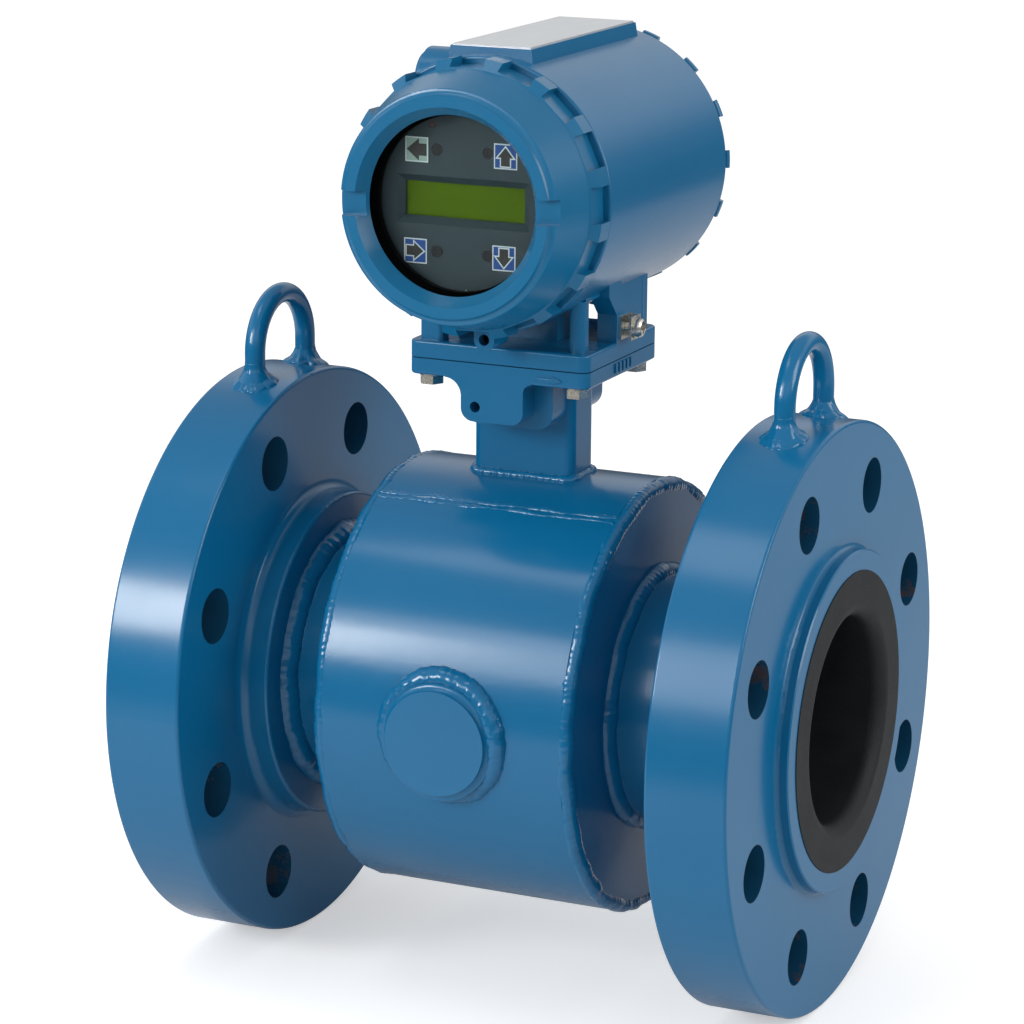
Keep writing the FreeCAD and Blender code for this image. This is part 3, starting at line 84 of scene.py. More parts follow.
def add(tree, kind, links=(), **settings):
    """A node with its properties set, its plain inputs filled and its linked inputs joined."""
    node = tree.nodes.new(kind)
    for key, value in settings.items():
        setattr(node, key, value)
    for socket, source in dict(links).items():
        if isinstance(source, bpy.types.NodeSocket):
            tree.links.new(source, node.inputs[socket])
        else:
            node.inputs[socket].default_value = source
    return node


def math_step(tree, operation, first, second=0.0, third=0.0):
    """The result of one sum."""
    return add(tree, "ShaderNodeMath", {0: first, 1: second, 2: third}, operation=operation).outputs[0]


def hypotenuse(tree, first, second):
    """The long side of a right triangle from its two short ones."""
    squares = [math_step(tree, "MULTIPLY", side, side) for side in (first, second)]
    return math_step(tree, "SQRT", math_step(tree, "ADD", *squares))


def object_place(tree):
    """Where a point of the surface lies, in metres."""
    return add(tree, "ShaderNodeTexCoord").outputs["Object"]


def noise(tree, place, scale, detail, roughness=0.5):
    """Cloudy values round a half; a larger scale gives finer clouds."""
    return add(tree, "ShaderNodeTexNoise", {"Vector": place, "Scale": scale, "Detail": detail,
                                            "Roughness": roughness}).outputs[0]


def blend(tree, amount, first, second):
    """A colour that goes from first to second as amount goes from 0 to 1."""
    return add(tree, "ShaderNodeMix", {0: amount, 6: first, 7: second}, data_type="RGBA").outputs[2]


def ramp(tree, value, start, end, low, high, curve="LINEAR"):
    """The stretch of value from start to end, drawn out to run from low to high."""
    return add(tree, "ShaderNodeMapRange", {0: value, 1: start, 2: end, 3: low, 4: high},
               interpolation_type=curve).outputs[0]


def paint_group():
    """Enamel: slow drift of shade, faint cloudiness of the gloss, and orange peel as a height."""
    tree, way_in, way_out = new_group(
        "enamel",
        [("Paint", "Color", linear(58, 120, 165)), ("Shade", "Color", linear(48, 108, 152)),
         ("Gloss", "Float", 0.16), ("Cloud", "Float", 0.05), ("Peel Size", "Float", 420.0)],
        [("Colour", "Color"), ("Roughness", "Float"), ("Height", "Float")])
    place = object_place(tree)
    drift = noise(tree, place, 9.0, 3.0, 0.55)
    colour = blend(tree, drift, way_in.outputs["Paint"], way_in.outputs["Shade"])
    cloud = noise(tree, place, 34.0, 4.0, 0.6)
    swing = math_step(tree, "MULTIPLY_ADD", cloud, 2.0, -1.0)
    gloss = math_step(tree, "MULTIPLY_ADD", swing, way_in.outputs["Cloud"], way_in.outputs["Gloss"])
    peel = noise(tree, place, way_in.outputs["Peel Size"], 1.5)
    wave = noise(tree, place, 70.0, 1.0)
    height = math_step(tree, "MULTIPLY_ADD", wave, 1.6, peel)
    for label, source in (("Colour", colour), ("Roughness", gloss), ("Height", height)):
        tree.links.new(source, way_out.inputs[label])
    return tree


enamel = paint_group()


def rust_group():
    """Where the walls of the eight bolt holes are, and the patches of rust on some of them."""
    tree, way_in, way_out = new_group(
        "bolt hole rust",
        [("Circle Radius", "Float", 0.108), ("Hole Radius", "Float", 0.0127), ("Amount", "Float", 0.8)],
        [("Mask", "Float"), ("Rust", "Color"), ("Hole", "Float")])
    place = object_place(tree)
    split = add(tree, "ShaderNodeSeparateXYZ", {0: place})
    across, up = split.outputs["Y"], split.outputs["Z"]
    spread = hypotenuse(tree, across, up)
    turn = math_step(tree, "ARCTAN2", up, across)
    pitch = math.pi / 4
    local = math_step(tree, "SUBTRACT", math_step(tree, "FLOORED_MODULO", turn, pitch), pitch / 2)
    along = math_step(tree, "SUBTRACT", math_step(tree, "MULTIPLY", spread, math_step(tree, "COSINE", local)),
                      way_in.outputs["Circle Radius"])
    beside = math_step(tree, "MULTIPLY", spread, math_step(tree, "SINE", local))
    gap = hypotenuse(tree, along, beside)
    wall_allowance = 0.00015
    wall = math_step(tree, "ADD", way_in.outputs["Hole Radius"], wall_allowance)
    inside = math_step(tree, "LESS_THAN", gap, wall)
    shown = ramp(tree, noise(tree, place, 55.0, 6.0, 0.7), 0.54, 0.62, 0.0, 1.0)
    chosen = ramp(tree, noise(tree, place, 7.0, 0.0), 0.46, 0.56, 0.0, 1.0)
    patchy = math_step(tree, "MULTIPLY", shown, chosen)
    mask = math_step(tree, "MULTIPLY", math_step(tree, "MULTIPLY", inside, patchy), way_in.outputs["Amount"])
    grit = noise(tree, place, 260.0, 5.0, 0.7)
    rust = blend(tree, grit, linear(44, 30, 22), linear(98, 60, 36))
    for label, source in (("Mask", mask), ("Rust", rust), ("Hole", inside)):
        tree.links.new(source, way_out.inputs[label])
    return tree


def finish_of(name, **plain):
    """A new material; plain values are set straight on the shader's own sockets."""
    material = bpy.data.materials.new(name)
    material.use_nodes = True
    shader = material.node_tree.nodes["Principled BSDF"]
    for label, value in plain.items():
        shader.inputs[label.replace("_", " ")].default_value = value
    return material, material.node_tree, shader


def bump(tree, shader, height, reach):
    """Let a height rough up the surface by up to reach metres."""
    node = add(tree, "ShaderNodeBump", {"Height": height, "Distance": reach, "Strength": 1.0})
    tree.links.new(node.outputs[0], shader.inputs["Normal"])


def enamel_finish(name, paint, shade, gloss=0.16, cloud=0.05, peel=420.0, peel_height=0.000012):
    """Sprayed enamel in a paint and its darker shade; gloss is the shader's roughness."""
    material, tree, shader = finish_of(name, IOR=1.5)
    film = add(tree, "ShaderNodeGroup", node_tree=enamel)
    for label, value in (("Paint", linear(*paint)), ("Shade", linear(*shade)), ("Gloss", gloss),
                         ("Cloud", cloud), ("Peel Size", peel)):
        film.inputs[label].default_value = value
    tree.links.new(film.outputs["Colour"], shader.inputs["Base Color"])
    tree.links.new(film.outputs["Roughness"], shader.inputs["Roughness"])
    bump(tree, shader, film.outputs["Height"], peel_height)
    return material, tree, shader, film


def dress(material, *names):
    """Give the CAD pieces of these names a finish."""
    for name in names:
        nodes[name].material_slots[0].material = material


def in_scene(name, mesh):
    """A new object of this mesh, linked into the scene."""
    piece = bpy.data.objects.new(name, mesh)
    bpy.context.scene.collection.objects.link(piece)
    return piece


def smooth_piece(name, points, faces, material):
    """A smooth-shaded piece from points and faces."""
    mesh = bpy.data.meshes.new(name)
    mesh.from_pydata(points, [], faces)
    for polygon in mesh.polygons:
        polygon.use_smooth = True
    mesh.materials.append(material)
    return in_scene(name, mesh)


blue = (12, 101, 146)
blue_shade = (6, 94, 139)
hole_dark_tone = linear(24, 34, 44)
flange_paint, tree, shader, film = enamel_finish("flange_enamel", blue, blue_shade, gloss=0.2)
rust = add(tree, "ShaderNodeGroup", node_tree=rust_group())
# The walls of the bolt holes are coloured part way towards a dark slate grey, with patches of rust over that.
hole_darkening = math_step(tree, "MULTIPLY", rust.outputs["Hole"], 0.6)
darker_in_holes = blend(tree, hole_darkening, film.outputs["Colour"], hole_dark_tone)
worn = blend(tree, rust.outputs["Mask"], darker_in_holes, rust.outputs["Rust"])
tree.links.new(worn, shader.inputs["Base Color"])
duller = math_step(tree, "MULTIPLY_ADD", rust.outputs["Mask"], 0.6, film.outputs["Roughness"])
tree.links.new(duller, shader.inputs["Roughness"])
dress(flange_paint, "inlet_flange", "outlet_flange")


def edge_bead(name, x, radius, thickness, around=720, across=16):
    """The paint's rounded edge where a rim meets a face: a very fine ring in the edge's own round."""
    points, faces = [], []
    for n in range(around):
        turn = 2 * math.pi * n / around
        for m in range(across):
            roll = 2 * math.pi * m / across
            spread = radius + thickness * math.cos(roll)
            points.append((x + thickness * math.sin(roll), spread * math.cos(turn), spread * math.sin(turn)))
            after, beside = (n + 1) % around, (m + 1) % across
            faces.append((n * across + m, after * across + m, after * across + beside, n * across + beside))
    ring = smooth_piece(name, points, faces, flange_paint)
    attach(ring, "meter")


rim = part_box("outlet_flange")[1].y
edge_round = 0.0015
raised_height = 0.0064
flange_thickness = 0.0375
for side, outward in (("inlet", -1), ("outlet", 1)):
    low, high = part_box(side + "_flange")
    face_at = (high.x if outward > 0 else low.x) - outward * raised_height
    back_at = face_at - outward * flange_thickness
    edge_bead(side + "_face_edge", face_at - outward * edge_round, rim - edge_round, edge_round)
    edge_bead(side + "_back_edge", back_at + outward * edge_round, rim - edge_round, edge_round)


# ---------------------------------------------------------------------------------------------
# Lifting hoops.  Round steel bar bent cold to a half round, its legs welded upright on the rim
# of each flange.  They are sprayed together with the flange, in the same blue.
# ---------------------------------------------------------------------------------------------
bar_paint = enamel_finish("bar_enamel", blue, blue_shade, gloss=0.14)[0]
dress(bar_paint, "inlet_lifting_hoop", "outlet_lifting_hoop")


# ---------------------------------------------------------------------------------------------
# Flow tube, coil housing and neck.  Steel tube, a rolled shell, turned end plates, side caps
# over the electrodes and a rectangular neck tube, welded up first and painted afterwards.
# ---------------------------------------------------------------------------------------------
shell_paint = enamel_finish("shell_enamel", blue, blue_shade, gloss=0.19, cloud=0.04, peel_height=0.00002)[0]
dress(shell_paint, "flow_tube", "coil_housing_shell", "inlet_end_plate", "outlet_end_plate",
      "front_electrode_cap", "rear_electrode_cap", "neck_tube")


# ---------------------------------------------------------------------------------------------
# Weld beads.  Laid by hand in overlapping puddles, so each bead is a row of small crescents.
# They close the flange hubs, the end plates, the side caps, the neck's foot and the shell's
# seam, and they run up the legs of the hoops.
# ---------------------------------------------------------------------------------------------
def bead_tree():
    """Bead along a path whose points carry their own radius, with ripples bowed across it."""
    tree = bpy.data.node_groups.new("weld_bead", "GeometryNodeTree")
    for label, kind, value in (("Path", "Geometry", None), ("Step", "Float", 0.0006),
                               ("Ripple Pitch", "Float", 0.0032), ("Ripple Height", "Float", 0.00035),
                               ("Bow", "Float", 0.45), ("Waver", "Float", 0.0006), ("Seed", "Int", 4),
                               ("Finish", "Material", None)):
        socket = tree.interface.new_socket(label, in_out="INPUT", socket_type="NodeSocket" + kind)
        if value is not None:
            socket.default_value = value
    tree.interface.new_socket("Bead", in_out="OUTPUT", socket_type="NodeSocketGeometry")
    way_in = tree.nodes.new("NodeGroupInput")
    way_out = tree.nodes.new("NodeGroupOutput")

    path = add(tree, "GeometryNodeMeshToCurve", {"Mesh": way_in.outputs["Path"]})
    path = add(tree, "GeometryNodeResampleCurve", {"Curve": path.outputs[0],
                                                   "Length": way_in.outputs["Step"]}, mode="LENGTH")
    size = add(tree, "GeometryNodeInputNamedAttribute", {"Name": "bead_radius"}, data_type="FLOAT")
    along = add(tree, "GeometryNodeSplineParameter")
    path = add(tree, "GeometryNodeCaptureAttribute", {"Geometry": path.outputs[0]})
    path.capture_items.new("FLOAT", "Run")
    tree.links.new(along.outputs["Length"], path.inputs["Run"])
    path_out = add(tree, "GeometryNodeSetCurveRadius", {"Curve": path.outputs[0],
                                                        "Radius": size.outputs["Attribute"]})

    ring = add(tree, "GeometryNodeCurvePrimitiveCircle", {"Resolution": 14, "Radius": 1.0})
    ring_turn = add(tree, "GeometryNodeSplineParameter")
    section = add(tree, "GeometryNodeCaptureAttribute", {"Geometry": ring.outputs[0]})
    section.capture_items.new("FLOAT", "Turn")
    tree.links.new(ring_turn.outputs["Factor"], section.inputs["Turn"])
    tube = add(tree, "GeometryNodeCurveToMesh", {"Curve": path_out.outputs[0],
                                                 "Profile Curve": section.outputs[0]})
    if "Scale" in tube.inputs:
        radius = add(tree, "GeometryNodeInputRadius")
        tree.links.new(radius.outputs[0], tube.inputs["Scale"])

    round_angle = math_step(tree, "MULTIPLY", section.outputs["Turn"], 2 * math.pi)
    bow = math_step(tree, "MULTIPLY", math_step(tree, "COSINE", round_angle), way_in.outputs["Bow"])
    place = add(tree, "GeometryNodeInputPosition")
    drift = add(tree, "ShaderNodeTexNoise", {"Vector": place.outputs[0], "W": way_in.outputs["Seed"],
                                             "Scale": 160.0, "Detail": 2.0}, noise_dimensions="4D")
    uneven = math_step(tree, "MULTIPLY", drift.outputs[0], 1.1)
    count = math_step(tree, "DIVIDE", path.outputs["Run"], way_in.outputs["Ripple Pitch"])
    phase = math_step(tree, "FRACT", math_step(tree, "ADD", math_step(tree, "ADD", count, bow), uneven))
    rise = math_step(tree, "MULTIPLY", math_step(tree, "POWER", phase, 1.7), way_in.outputs["Ripple Height"])
    slow = add(tree, "ShaderNodeTexNoise", {"Vector": place.outputs[0], "W": way_in.outputs["Seed"],
                                            "Scale": 75.0, "Detail": 3.0}, noise_dimensions="4D")
    off_middle = math_step(tree, "SUBTRACT", slow.outputs[0], 0.5)
    waver = math_step(tree, "MULTIPLY", off_middle, way_in.outputs["Waver"])
    out_by = math_step(tree, "ADD", rise, math_step(tree, "MULTIPLY", waver, 2.0))
    normal = add(tree, "GeometryNodeInputNormal")
    push = add(tree, "ShaderNodeVectorMath", {0: normal.outputs[0], "Scale": out_by}, operation="SCALE")
    moved = add(tree, "GeometryNodeSetPosition", {"Geometry": tube.outputs[0], "Offset": push.outputs[0]})
    real = add(tree, "GeometryNodeRealizeInstances", {"Geometry": moved.outputs[0]})
    painted = add(tree, "GeometryNodeSetMaterial", {"Geometry": real.outputs[0],
                                                    "Material": way_in.outputs["Finish"]})
    tree.links.new(painted.outputs[0], way_out.inputs["Bead"])
    return tree


weld_bead = bead_tree()
weld_paint = enamel_finish("weld_enamel", blue, blue_shade, gloss=0.15, peel=700.0, peel_height=0.00002)[0]


def set_inputs(modifier, tree, values):
    """Fill a modifier's inputs through their identifiers."""
    for item in tree.interface.items_tree:
        if item.item_type == "SOCKET" and item.in_out == "INPUT" and item.name in values:
            modifier[item.identifier] = values[item.name]


def plain_mesh(piece):
    """A plain mesh of the piece as its modifiers leave it."""
    bpy.context.view_layer.update()
    return bpy.data.meshes.new_from_object(piece.evaluated_get(bpy.context.evaluated_depsgraph_get()))


def grown(name, base, tree, values):
    """Run a node tree on a base mesh and keep only the plain mesh that it makes."""
    holder = in_scene(name + "_path", base)
    modifier = holder.modifiers.new("grow", "NODES")
    modifier.node_group = tree
    set_inputs(modifier, tree, values)
    result = plain_mesh(holder)
    holder.modifiers.clear()
    bpy.data.objects.remove(holder)
    result.name = name
    for polygon in result.polygons:
        polygon.use_smooth = True
    return in_scene(name, result)


def path_mesh(name, paths):
    """Paths are (points, closed, bead radius or one for each point), joined into one mesh."""
    points, edges, radii = [], [], []
    for chain, closed, radius in paths:
        first = len(points)
        points += chain
        radii += radius if isinstance(radius, list) else [radius] * len(chain)
        edges += [(first + n, first + n + 1) for n in range(len(chain) - 1)]
        if closed:
            edges.append((len(points) - 1, first))
    mesh = bpy.data.meshes.new(name)
    mesh.from_pydata(points, edges, [])
    mesh.attributes.new("bead_radius", "FLOAT", "POINT").data.foreach_set("value", radii)
    return mesh


def weld(name, paths, values, stands_for=None):
    """Weld metal along some paths, with these values of the bead's inputs."""
    piece = grown(name, path_mesh(name, paths), weld_bead, {**values, "Finish": weld_paint})
    if stands_for:
        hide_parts(stands_for)
    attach(piece, "meter")


def corner_rings(corner_x, corner_radius, out, sunk, bead, steps=240):
    """Rings of weld in the same corner at both ends: moved out along X, and sunk towards it."""
    rings = []
    for end in (-1, 1):
        x, radius = end * (corner_x + out), corner_radius - sunk
        turns = [2 * math.pi * n / steps for n in range(steps)]
        rings.append(([(x, radius * math.cos(turn), radius * math.sin(turn)) for turn in turns], True, bead))
    return rings


tube_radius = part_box("flow_tube")[1].z
shell_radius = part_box("coil_housing_shell")[1].y
shell_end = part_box("coil_housing_shell")[1].x
plate_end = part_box("outlet_end_plate")[1].x
hub_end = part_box("outlet_flange")[0].x
rim_rings = corner_rings(shell_end, shell_radius, out=0.0012, sunk=0.0035, bead=0.0037)
foot_rings = corner_rings(plate_end, tube_radius, out=-0.001, sunk=0.0006, bead=0.0056)
hub_rings = corner_rings(hub_end, tube_radius, out=0.0015, sunk=0.0005, bead=0.0074)
weld("end_plate_beads", rim_rings + foot_rings,
     {"Ripple Pitch": 0.0031, "Ripple Height": 0.00022, "Waver": 0.0017}, stands_for="end_plate_welds")
weld("hub_beads", hub_rings, {"Ripple Pitch": 0.0052, "Ripple Height": 0.0004, "Waver": 0.0024, "Seed": 7},
     stands_for="flange_welds")


def on_shell(across, sunk=0.0):
    """How far the shell stands out at this distance beside its axis, less a depth sunk into it."""
    return math.sqrt(shell_radius ** 2 - across ** 2) - sunk


def cap_path(side, radius=0.0274, drop=0.002, sunk=0.0014, bead=0.0042, swell=0.0018, steps=160):
    """A ring round a side cap on the curve of the shell, thickest above and towards the outlet."""
    thickest_turn = math.radians(50)
    points, radii = [], []
    for n in range(steps):
        turn = 2 * math.pi * n / steps
        x, z = radius * math.cos(turn), radius * math.sin(turn) - drop
        points.append((x, side * on_shell(z, sunk), z))
        radii.append(bead + swell * math.cos(turn - thickest_turn))
    return points, True, radii


weld("cap_beads", [cap_path(side) for side in (-1, 1)],
     {"Ripple Pitch": 0.0045, "Ripple Height": 0.0004, "Waver": 0.0018, "Seed": 9}, stands_for="cap_welds")


def neck_foot_path(half_width=0.0254, half_depth=0.0129, corner=0.005, lift=0.0002, corner_steps=6):
    """Round the foot of the rectangular neck, on the curve of the shell."""
    long_side, short_side = half_width - corner, half_depth - corner
    points = []
    for quarter, (centre_x, centre_y) in enumerate(((long_side, short_side), (-long_side, short_side),
                                                    (-long_side, -short_side), (long_side, -short_side))):
        for n in range(corner_steps + 1):
            turn = (quarter + n / corner_steps) * math.pi / 2
            x, y = centre_x + corner * math.cos(turn), centre_y + corner * math.sin(turn)
            points.append((x, y, on_shell(y, -lift)))
    return points


def seam_path(beside, wander, start, sunk=0.0008, bead=0.0012, swell=0.0003, steps=120):
    """One edge of the flat seam weld, wandering a little as it runs the length of the shell."""
    seam_turn = math.radians(24.0)
    points, radii = [], []
    for n in range(steps + 1):
        along = n / steps
        drift = wander * (math.sin(17 * along + start) + 0.6 * math.sin(41 * along + 2.3 * start))
        turn = seam_turn + (beside + drift) / shell_radius
        spread = shell_radius - sunk
        points.append((shell_end * (2 * along - 1), -spread * math.sin(turn), spread * math.cos(turn)))
        radii.append(bead + swell * math.sin(29 * along + start))
    return points, False, radii


weld("neck_foot_bead", [(neck_foot_path(), True, 0.0021)],
     {"Ripple Pitch": 0.0034, "Ripple Height": 0.0005, "Waver": 0.0010, "Seed": 3})
weld("shell_seam_bead", [seam_path(-0.0016, 0.00028, 0.4), seam_path(0.0017, 0.00034, 2.1)],
     {"Ripple Pitch": 0.0042, "Ripple Height": 0.0003, "Waver": 0.0013, "Seed": 5})

bar_radius = 0.0048
foot_half_width = 0.0095


def skirt_rings(centre_x, centre_y, chance, reach=0.0113, height=0.0112, around=120, rows=40):
    """Rings of points from the toe of one hoop leg's weld to its top, hollow-sided and uneven."""
    toe_swell, toe_share, lump_size, crest_size = 0.0011, 0.3, 0.00042, 0.0007
    rim_sunk, bar_sunk = 0.0007, 0.0002
    waves = [(chance.randint(2, 11), chance.uniform(0, 6.28), chance.uniform(0.2, 1.0)) for _ in range(7)]
    start = chance.uniform(0, 6.28)
    rings = []
    for row in range(rows + 1):
        up = row / rows
        ring = []
        for n in range(around):
            turn = 2 * math.pi * n / around
            lump = sum(size * math.sin(count * turn + begin + 4 * up) for count, begin, size in waves)
            crest = abs(math.sin(7 * turn + start + 3.4 * up + 0.3 * lump)) - 0.6
            toe = toe_swell * math.sin(math.pi * min(up / toe_share, 1.0))
            flare = (reach - bar_radius + lump_size * lump) * (1 - up) ** 2.3
            spread = bar_radius - bar_sunk + flare + toe + crest_size * crest * (1 - up) ** 1.5
            across = centre_y + spread * math.sin(turn)
            level = math.sqrt(rim ** 2 - across ** 2) - rim_sunk
            ring.append((centre_x + spread * math.cos(turn), across, level + height * up))
        rings.append(ring)
    return rings


def hoop_skirts(name):
    """The weld metal at all four feet of the hoops, each skirt closed inside rim and bar."""
    chance = random.Random(12)
    points, faces = [], []
    for hoop in ("inlet_lifting_hoop", "outlet_lifting_hoop"):
        low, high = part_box(hoop)
        leg = (high.y - low.y) / 2 - foot_half_width
        for y in (-leg, leg):
            first = len(points)
            rings = skirt_rings((low.x + high.x) / 2, y, chance)
            for ring in rings:
                points += ring
            around = len(rings[0])
            top = len(points) - around
            for row in range(first, top, around):
                for n in range(around):
                    here, beside = row + n, row + (n + 1) % around
                    faces.append((here, beside, beside + around, here + around))
            faces.append([first + n for n in reversed(range(around))])
            faces.append([top + n for n in range(around)])
    piece = smooth_piece(name, points, faces, weld_paint)
    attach(piece, "meter")


hoop_skirts("hoop_foot_beads")


# ---------------------------------------------------------------------------------------------
# Liner.  Black rubber moulded inside the tube and turned over the raised faces.  Cloth
# wrapped round it while it cured has left a fine diamond weave.
# ---------------------------------------------------------------------------------------------
rubber, tree, shader = finish_of("black_liner_rubber", IOR=1.35)
bore_radius = 0.0475
weave_pitch = 0.0021
place = object_place(tree)
split = add(tree, "ShaderNodeSeparateXYZ", {0: place})
across, up = split.outputs["Y"], split.outputs["Z"]
around = math_step(tree, "MULTIPLY", math_step(tree, "ARCTAN2", up, across), bore_radius)
lengthwise = math_step(tree, "ADD", split.outputs["X"], hypotenuse(tree, across, up))
threads = [math_step(tree, "SINE", math_step(tree, "MULTIPLY", math_step(tree, way, lengthwise, around),
                                             2 * math.pi / weave_pitch)) for way in ("ADD", "SUBTRACT")]
cloth = math_step(tree, "MULTIPLY", *threads)
smear = noise(tree, place, 40.0, 5.0, 0.65)
tree.links.new(blend(tree, smear, linear(13, 15, 18), linear(36, 39, 44)), shader.inputs["Base Color"])
tree.links.new(math_step(tree, "MULTIPLY_ADD", smear, 0.3, 0.38), shader.inputs["Roughness"])
bump(tree, shader, math_step(tree, "MULTIPLY_ADD", cloth, 0.5, smear), 0.00012)
dress(rubber, "liner")


# ---------------------------------------------------------------------------------------------
# Junction plate, gasket, bolts and washers.  Cast plates with a fine sandy skin under the
# paint, a thin rubber gasket between them, and four plated hexagon bolts from below.
# ---------------------------------------------------------------------------------------------
def cast_finish(name, paint, shade, gloss=0.25):
    """Enamel over a sandy casting."""
    material, tree, shader, film = enamel_finish(name, paint, shade, gloss=gloss, peel=520.0)
    sand = noise(tree, object_place(tree), 950.0, 3.0, 0.6)
    height = math_step(tree, "MULTIPLY_ADD", sand, 0.5, film.outputs["Height"])
    bump(tree, shader, height, 0.00002)
    return material


def raised_piece(name, outlines, rise, material, bevel=0.0):
    """Flat marks: each outline stands on a face and rises straight off it."""
    mesh = bpy.data.meshes.new(name)
    work = bmesh.new()
    for outline in outlines:
        low = [work.verts.new(point) for point in outline]
        high = [work.verts.new(Vector(point) + Vector(rise)) for point in outline]
        work.faces.new(low)
        work.faces.new(list(reversed(high)))
        for n in range(len(outline)):
            after = (n + 1) % len(outline)
            work.faces.new((low[n], low[after], high[after], high[n]))
    bmesh.ops.recalc_face_normals(work, faces=work.faces)
    if bevel:
        bmesh.ops.bevel(work, geom=list(work.edges), offset=bevel, segments=2, affect="EDGES", profile=0.5)
    work.to_mesh(mesh)
    work.free()
    mesh.materials.append(material)
    return in_scene(name, mesh)


def arrow_outline(stem, head, tail, neck, tip):
    """An arrow that points up: half widths of stem and head, then heights of tail, neck and tip."""
    return [(-stem, tail), (stem, tail), (stem, neck), (head, neck), (0.0, tip), (-head, neck), (-stem, neck)]


cast_paint = cast_finish("cast_enamel", (14, 101, 145), (8, 93, 137))
dress(cast_paint, "junction_plate", "transmitter_housing")

plate_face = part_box("junction_plate")[0].y
plate_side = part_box("junction_plate")[1].x
mark_rise, mark_bevel = 0.0008, 0.0003
arrow_height = 0.1523
flow_arrow = [(along, plate_face, arrow_height + aside)
              for aside, along in arrow_outline(0.0008, 0.0019, 0.0199, 0.0270, 0.0320)]
bar_half, bar_pitch, bar_low, bar_high = 0.0011, 0.0043, 0.1512, 0.1556
bar_outline = [(-bar_half, bar_low), (bar_half, bar_low), (bar_half, bar_high), (-bar_half, bar_high)]
bars = [[(plate_side, n * bar_pitch + aside, z) for aside, z in bar_outline] for n in range(-2, 3)]
for name, outlines, rise in (("flow_arrow", [flow_arrow], (0, -mark_rise, 0)),
                             ("plate_bars", bars, (mark_rise, 0, 0))):
    mark = raised_piece(name, outlines, rise, cast_paint, mark_bevel)
    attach(mark, "meter")

gasket_rubber = finish_of("gasket_rubber", Base_Color=linear(24, 25, 27), Roughness=0.7)[0]
dress(gasket_rubber, "base_gasket", "front_cover_oring", "rear_cover_oring")


def steel_finish(name, pale, dark, rough=0.28, grain=900.0):
    """Bare or plated metal, mottled between a pale and a dark tone."""
    material, tree, shader = finish_of(name, Metallic=1.0)
    fine = noise(tree, object_place(tree), grain, 4.0, 0.6)
    tree.links.new(blend(tree, fine, linear(*dark), linear(*pale)), shader.inputs["Base Color"])
    tree.links.new(math_step(tree, "MULTIPLY_ADD", fine, 0.2, rough - 0.1), shader.inputs["Roughness"])
    bump(tree, shader, fine, 0.00001)
    return material


bolt_steel = steel_finish("plated_bolt_steel", (244, 240, 230), (214, 208, 196), grain=2200.0)
dress(bolt_steel, "base_bolts", "base_washers", "terminal_screws", "ground_screw", "ground_clamp")
# Painted shade: the jam screws are coloured near black, standing in for the shade deep in their holes.
dress(steel_finish("jam_screw_shade_black", (34, 33, 32), (20, 20, 20), rough=0.4), "jam_screws")


# ---------------------------------------------------------------------------------------------
# Ground screw.  A plated steel screw through the clamp on the pedestal, with a flanged round
# head turned from bar and a cross recess pressed into it.
# ---------------------------------------------------------------------------------------------
def turned_mesh(name, profile, centre, around=64):
    """A solid turned about an axis along X from (x, radius) points; both ends are closed."""
    mesh = bpy.data.meshes.new(name)
    work = bmesh.new()
    turns = [2 * math.pi * n / around for n in range(around)]
    middle = Vector(centre)
    rings = []
    for x, radius in profile:
        ring = [(x, radius * math.cos(turn), radius * math.sin(turn)) for turn in turns]
        rings.append([work.verts.new(middle + Vector(point)) for point in ring])
    for inner, outer in zip(rings, rings[1:]):
        for n in range(around):
            after = (n + 1) % around
            work.faces.new((inner[n], inner[after], outer[after], outer[n]))
    work.faces.new(rings[0])
    work.faces.new(list(reversed(rings[-1])))
    bmesh.ops.recalc_face_normals(work, faces=work.faces)
    work.to_mesh(mesh)
    work.free()
    return mesh


def cut_out(solid, cutters):
    """Take boxes (low corner, high corner) out of a mesh object and keep the plain result."""
    for low, high in cutters:
        box = bpy.data.meshes.new("cutter")
        corners = [(x, y, z) for x in (low[0], high[0]) for y in (low[1], high[1]) for z in (low[2], high[2])]
        box.from_pydata(corners, [], [(0, 1, 3, 2), (4, 6, 7, 5), (0, 4, 5, 1),
                                      (2, 3, 7, 6), (0, 2, 6, 4), (1, 5, 7, 3)])
        tool = in_scene("cutter", box)
        step = solid.modifiers.new("cut", "BOOLEAN")
        step.operation = "DIFFERENCE"
        step.solver = "EXACT"
        step.object = tool
        result = plain_mesh(solid)
        solid.modifiers.clear()
        solid.data = result
        bpy.data.objects.remove(tool)


screw_low, screw_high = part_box("ground_screw")
screw_middle = (screw_low + screw_high) / 2
head_height = 0.004
seat = screw_high.x - head_height
head = [(-0.0100, 0.0019), (0.0, 0.0019), (0.0, 0.0050), (0.0007, 0.0050), (0.0008, 0.0044), (0.0022, 0.0044),
        (0.0030, 0.0040), (0.0036, 0.0031), (0.0039, 0.0018), (head_height, 0.0004)]
ground_head = in_scene("ground_screw_head",
                       turned_mesh("ground_screw_head", head, (seat, screw_middle.y, screw_middle.z)))
recess_half, recess_reach = 0.0006, 0.0027
recess_floor, recess_open = seat + 0.0022, seat + 0.006
cut_out(ground_head, [((recess_floor, screw_middle.y - across, screw_middle.z - up),
                       (recess_open, screw_middle.y + across, screw_middle.z + up))
                      for across, up in ((recess_half, recess_reach), (recess_reach, recess_half))])
ground_head.data.materials.clear()
ground_head.data.materials.append(bolt_steel)
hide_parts("ground_screw")
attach(ground_head, "meter")


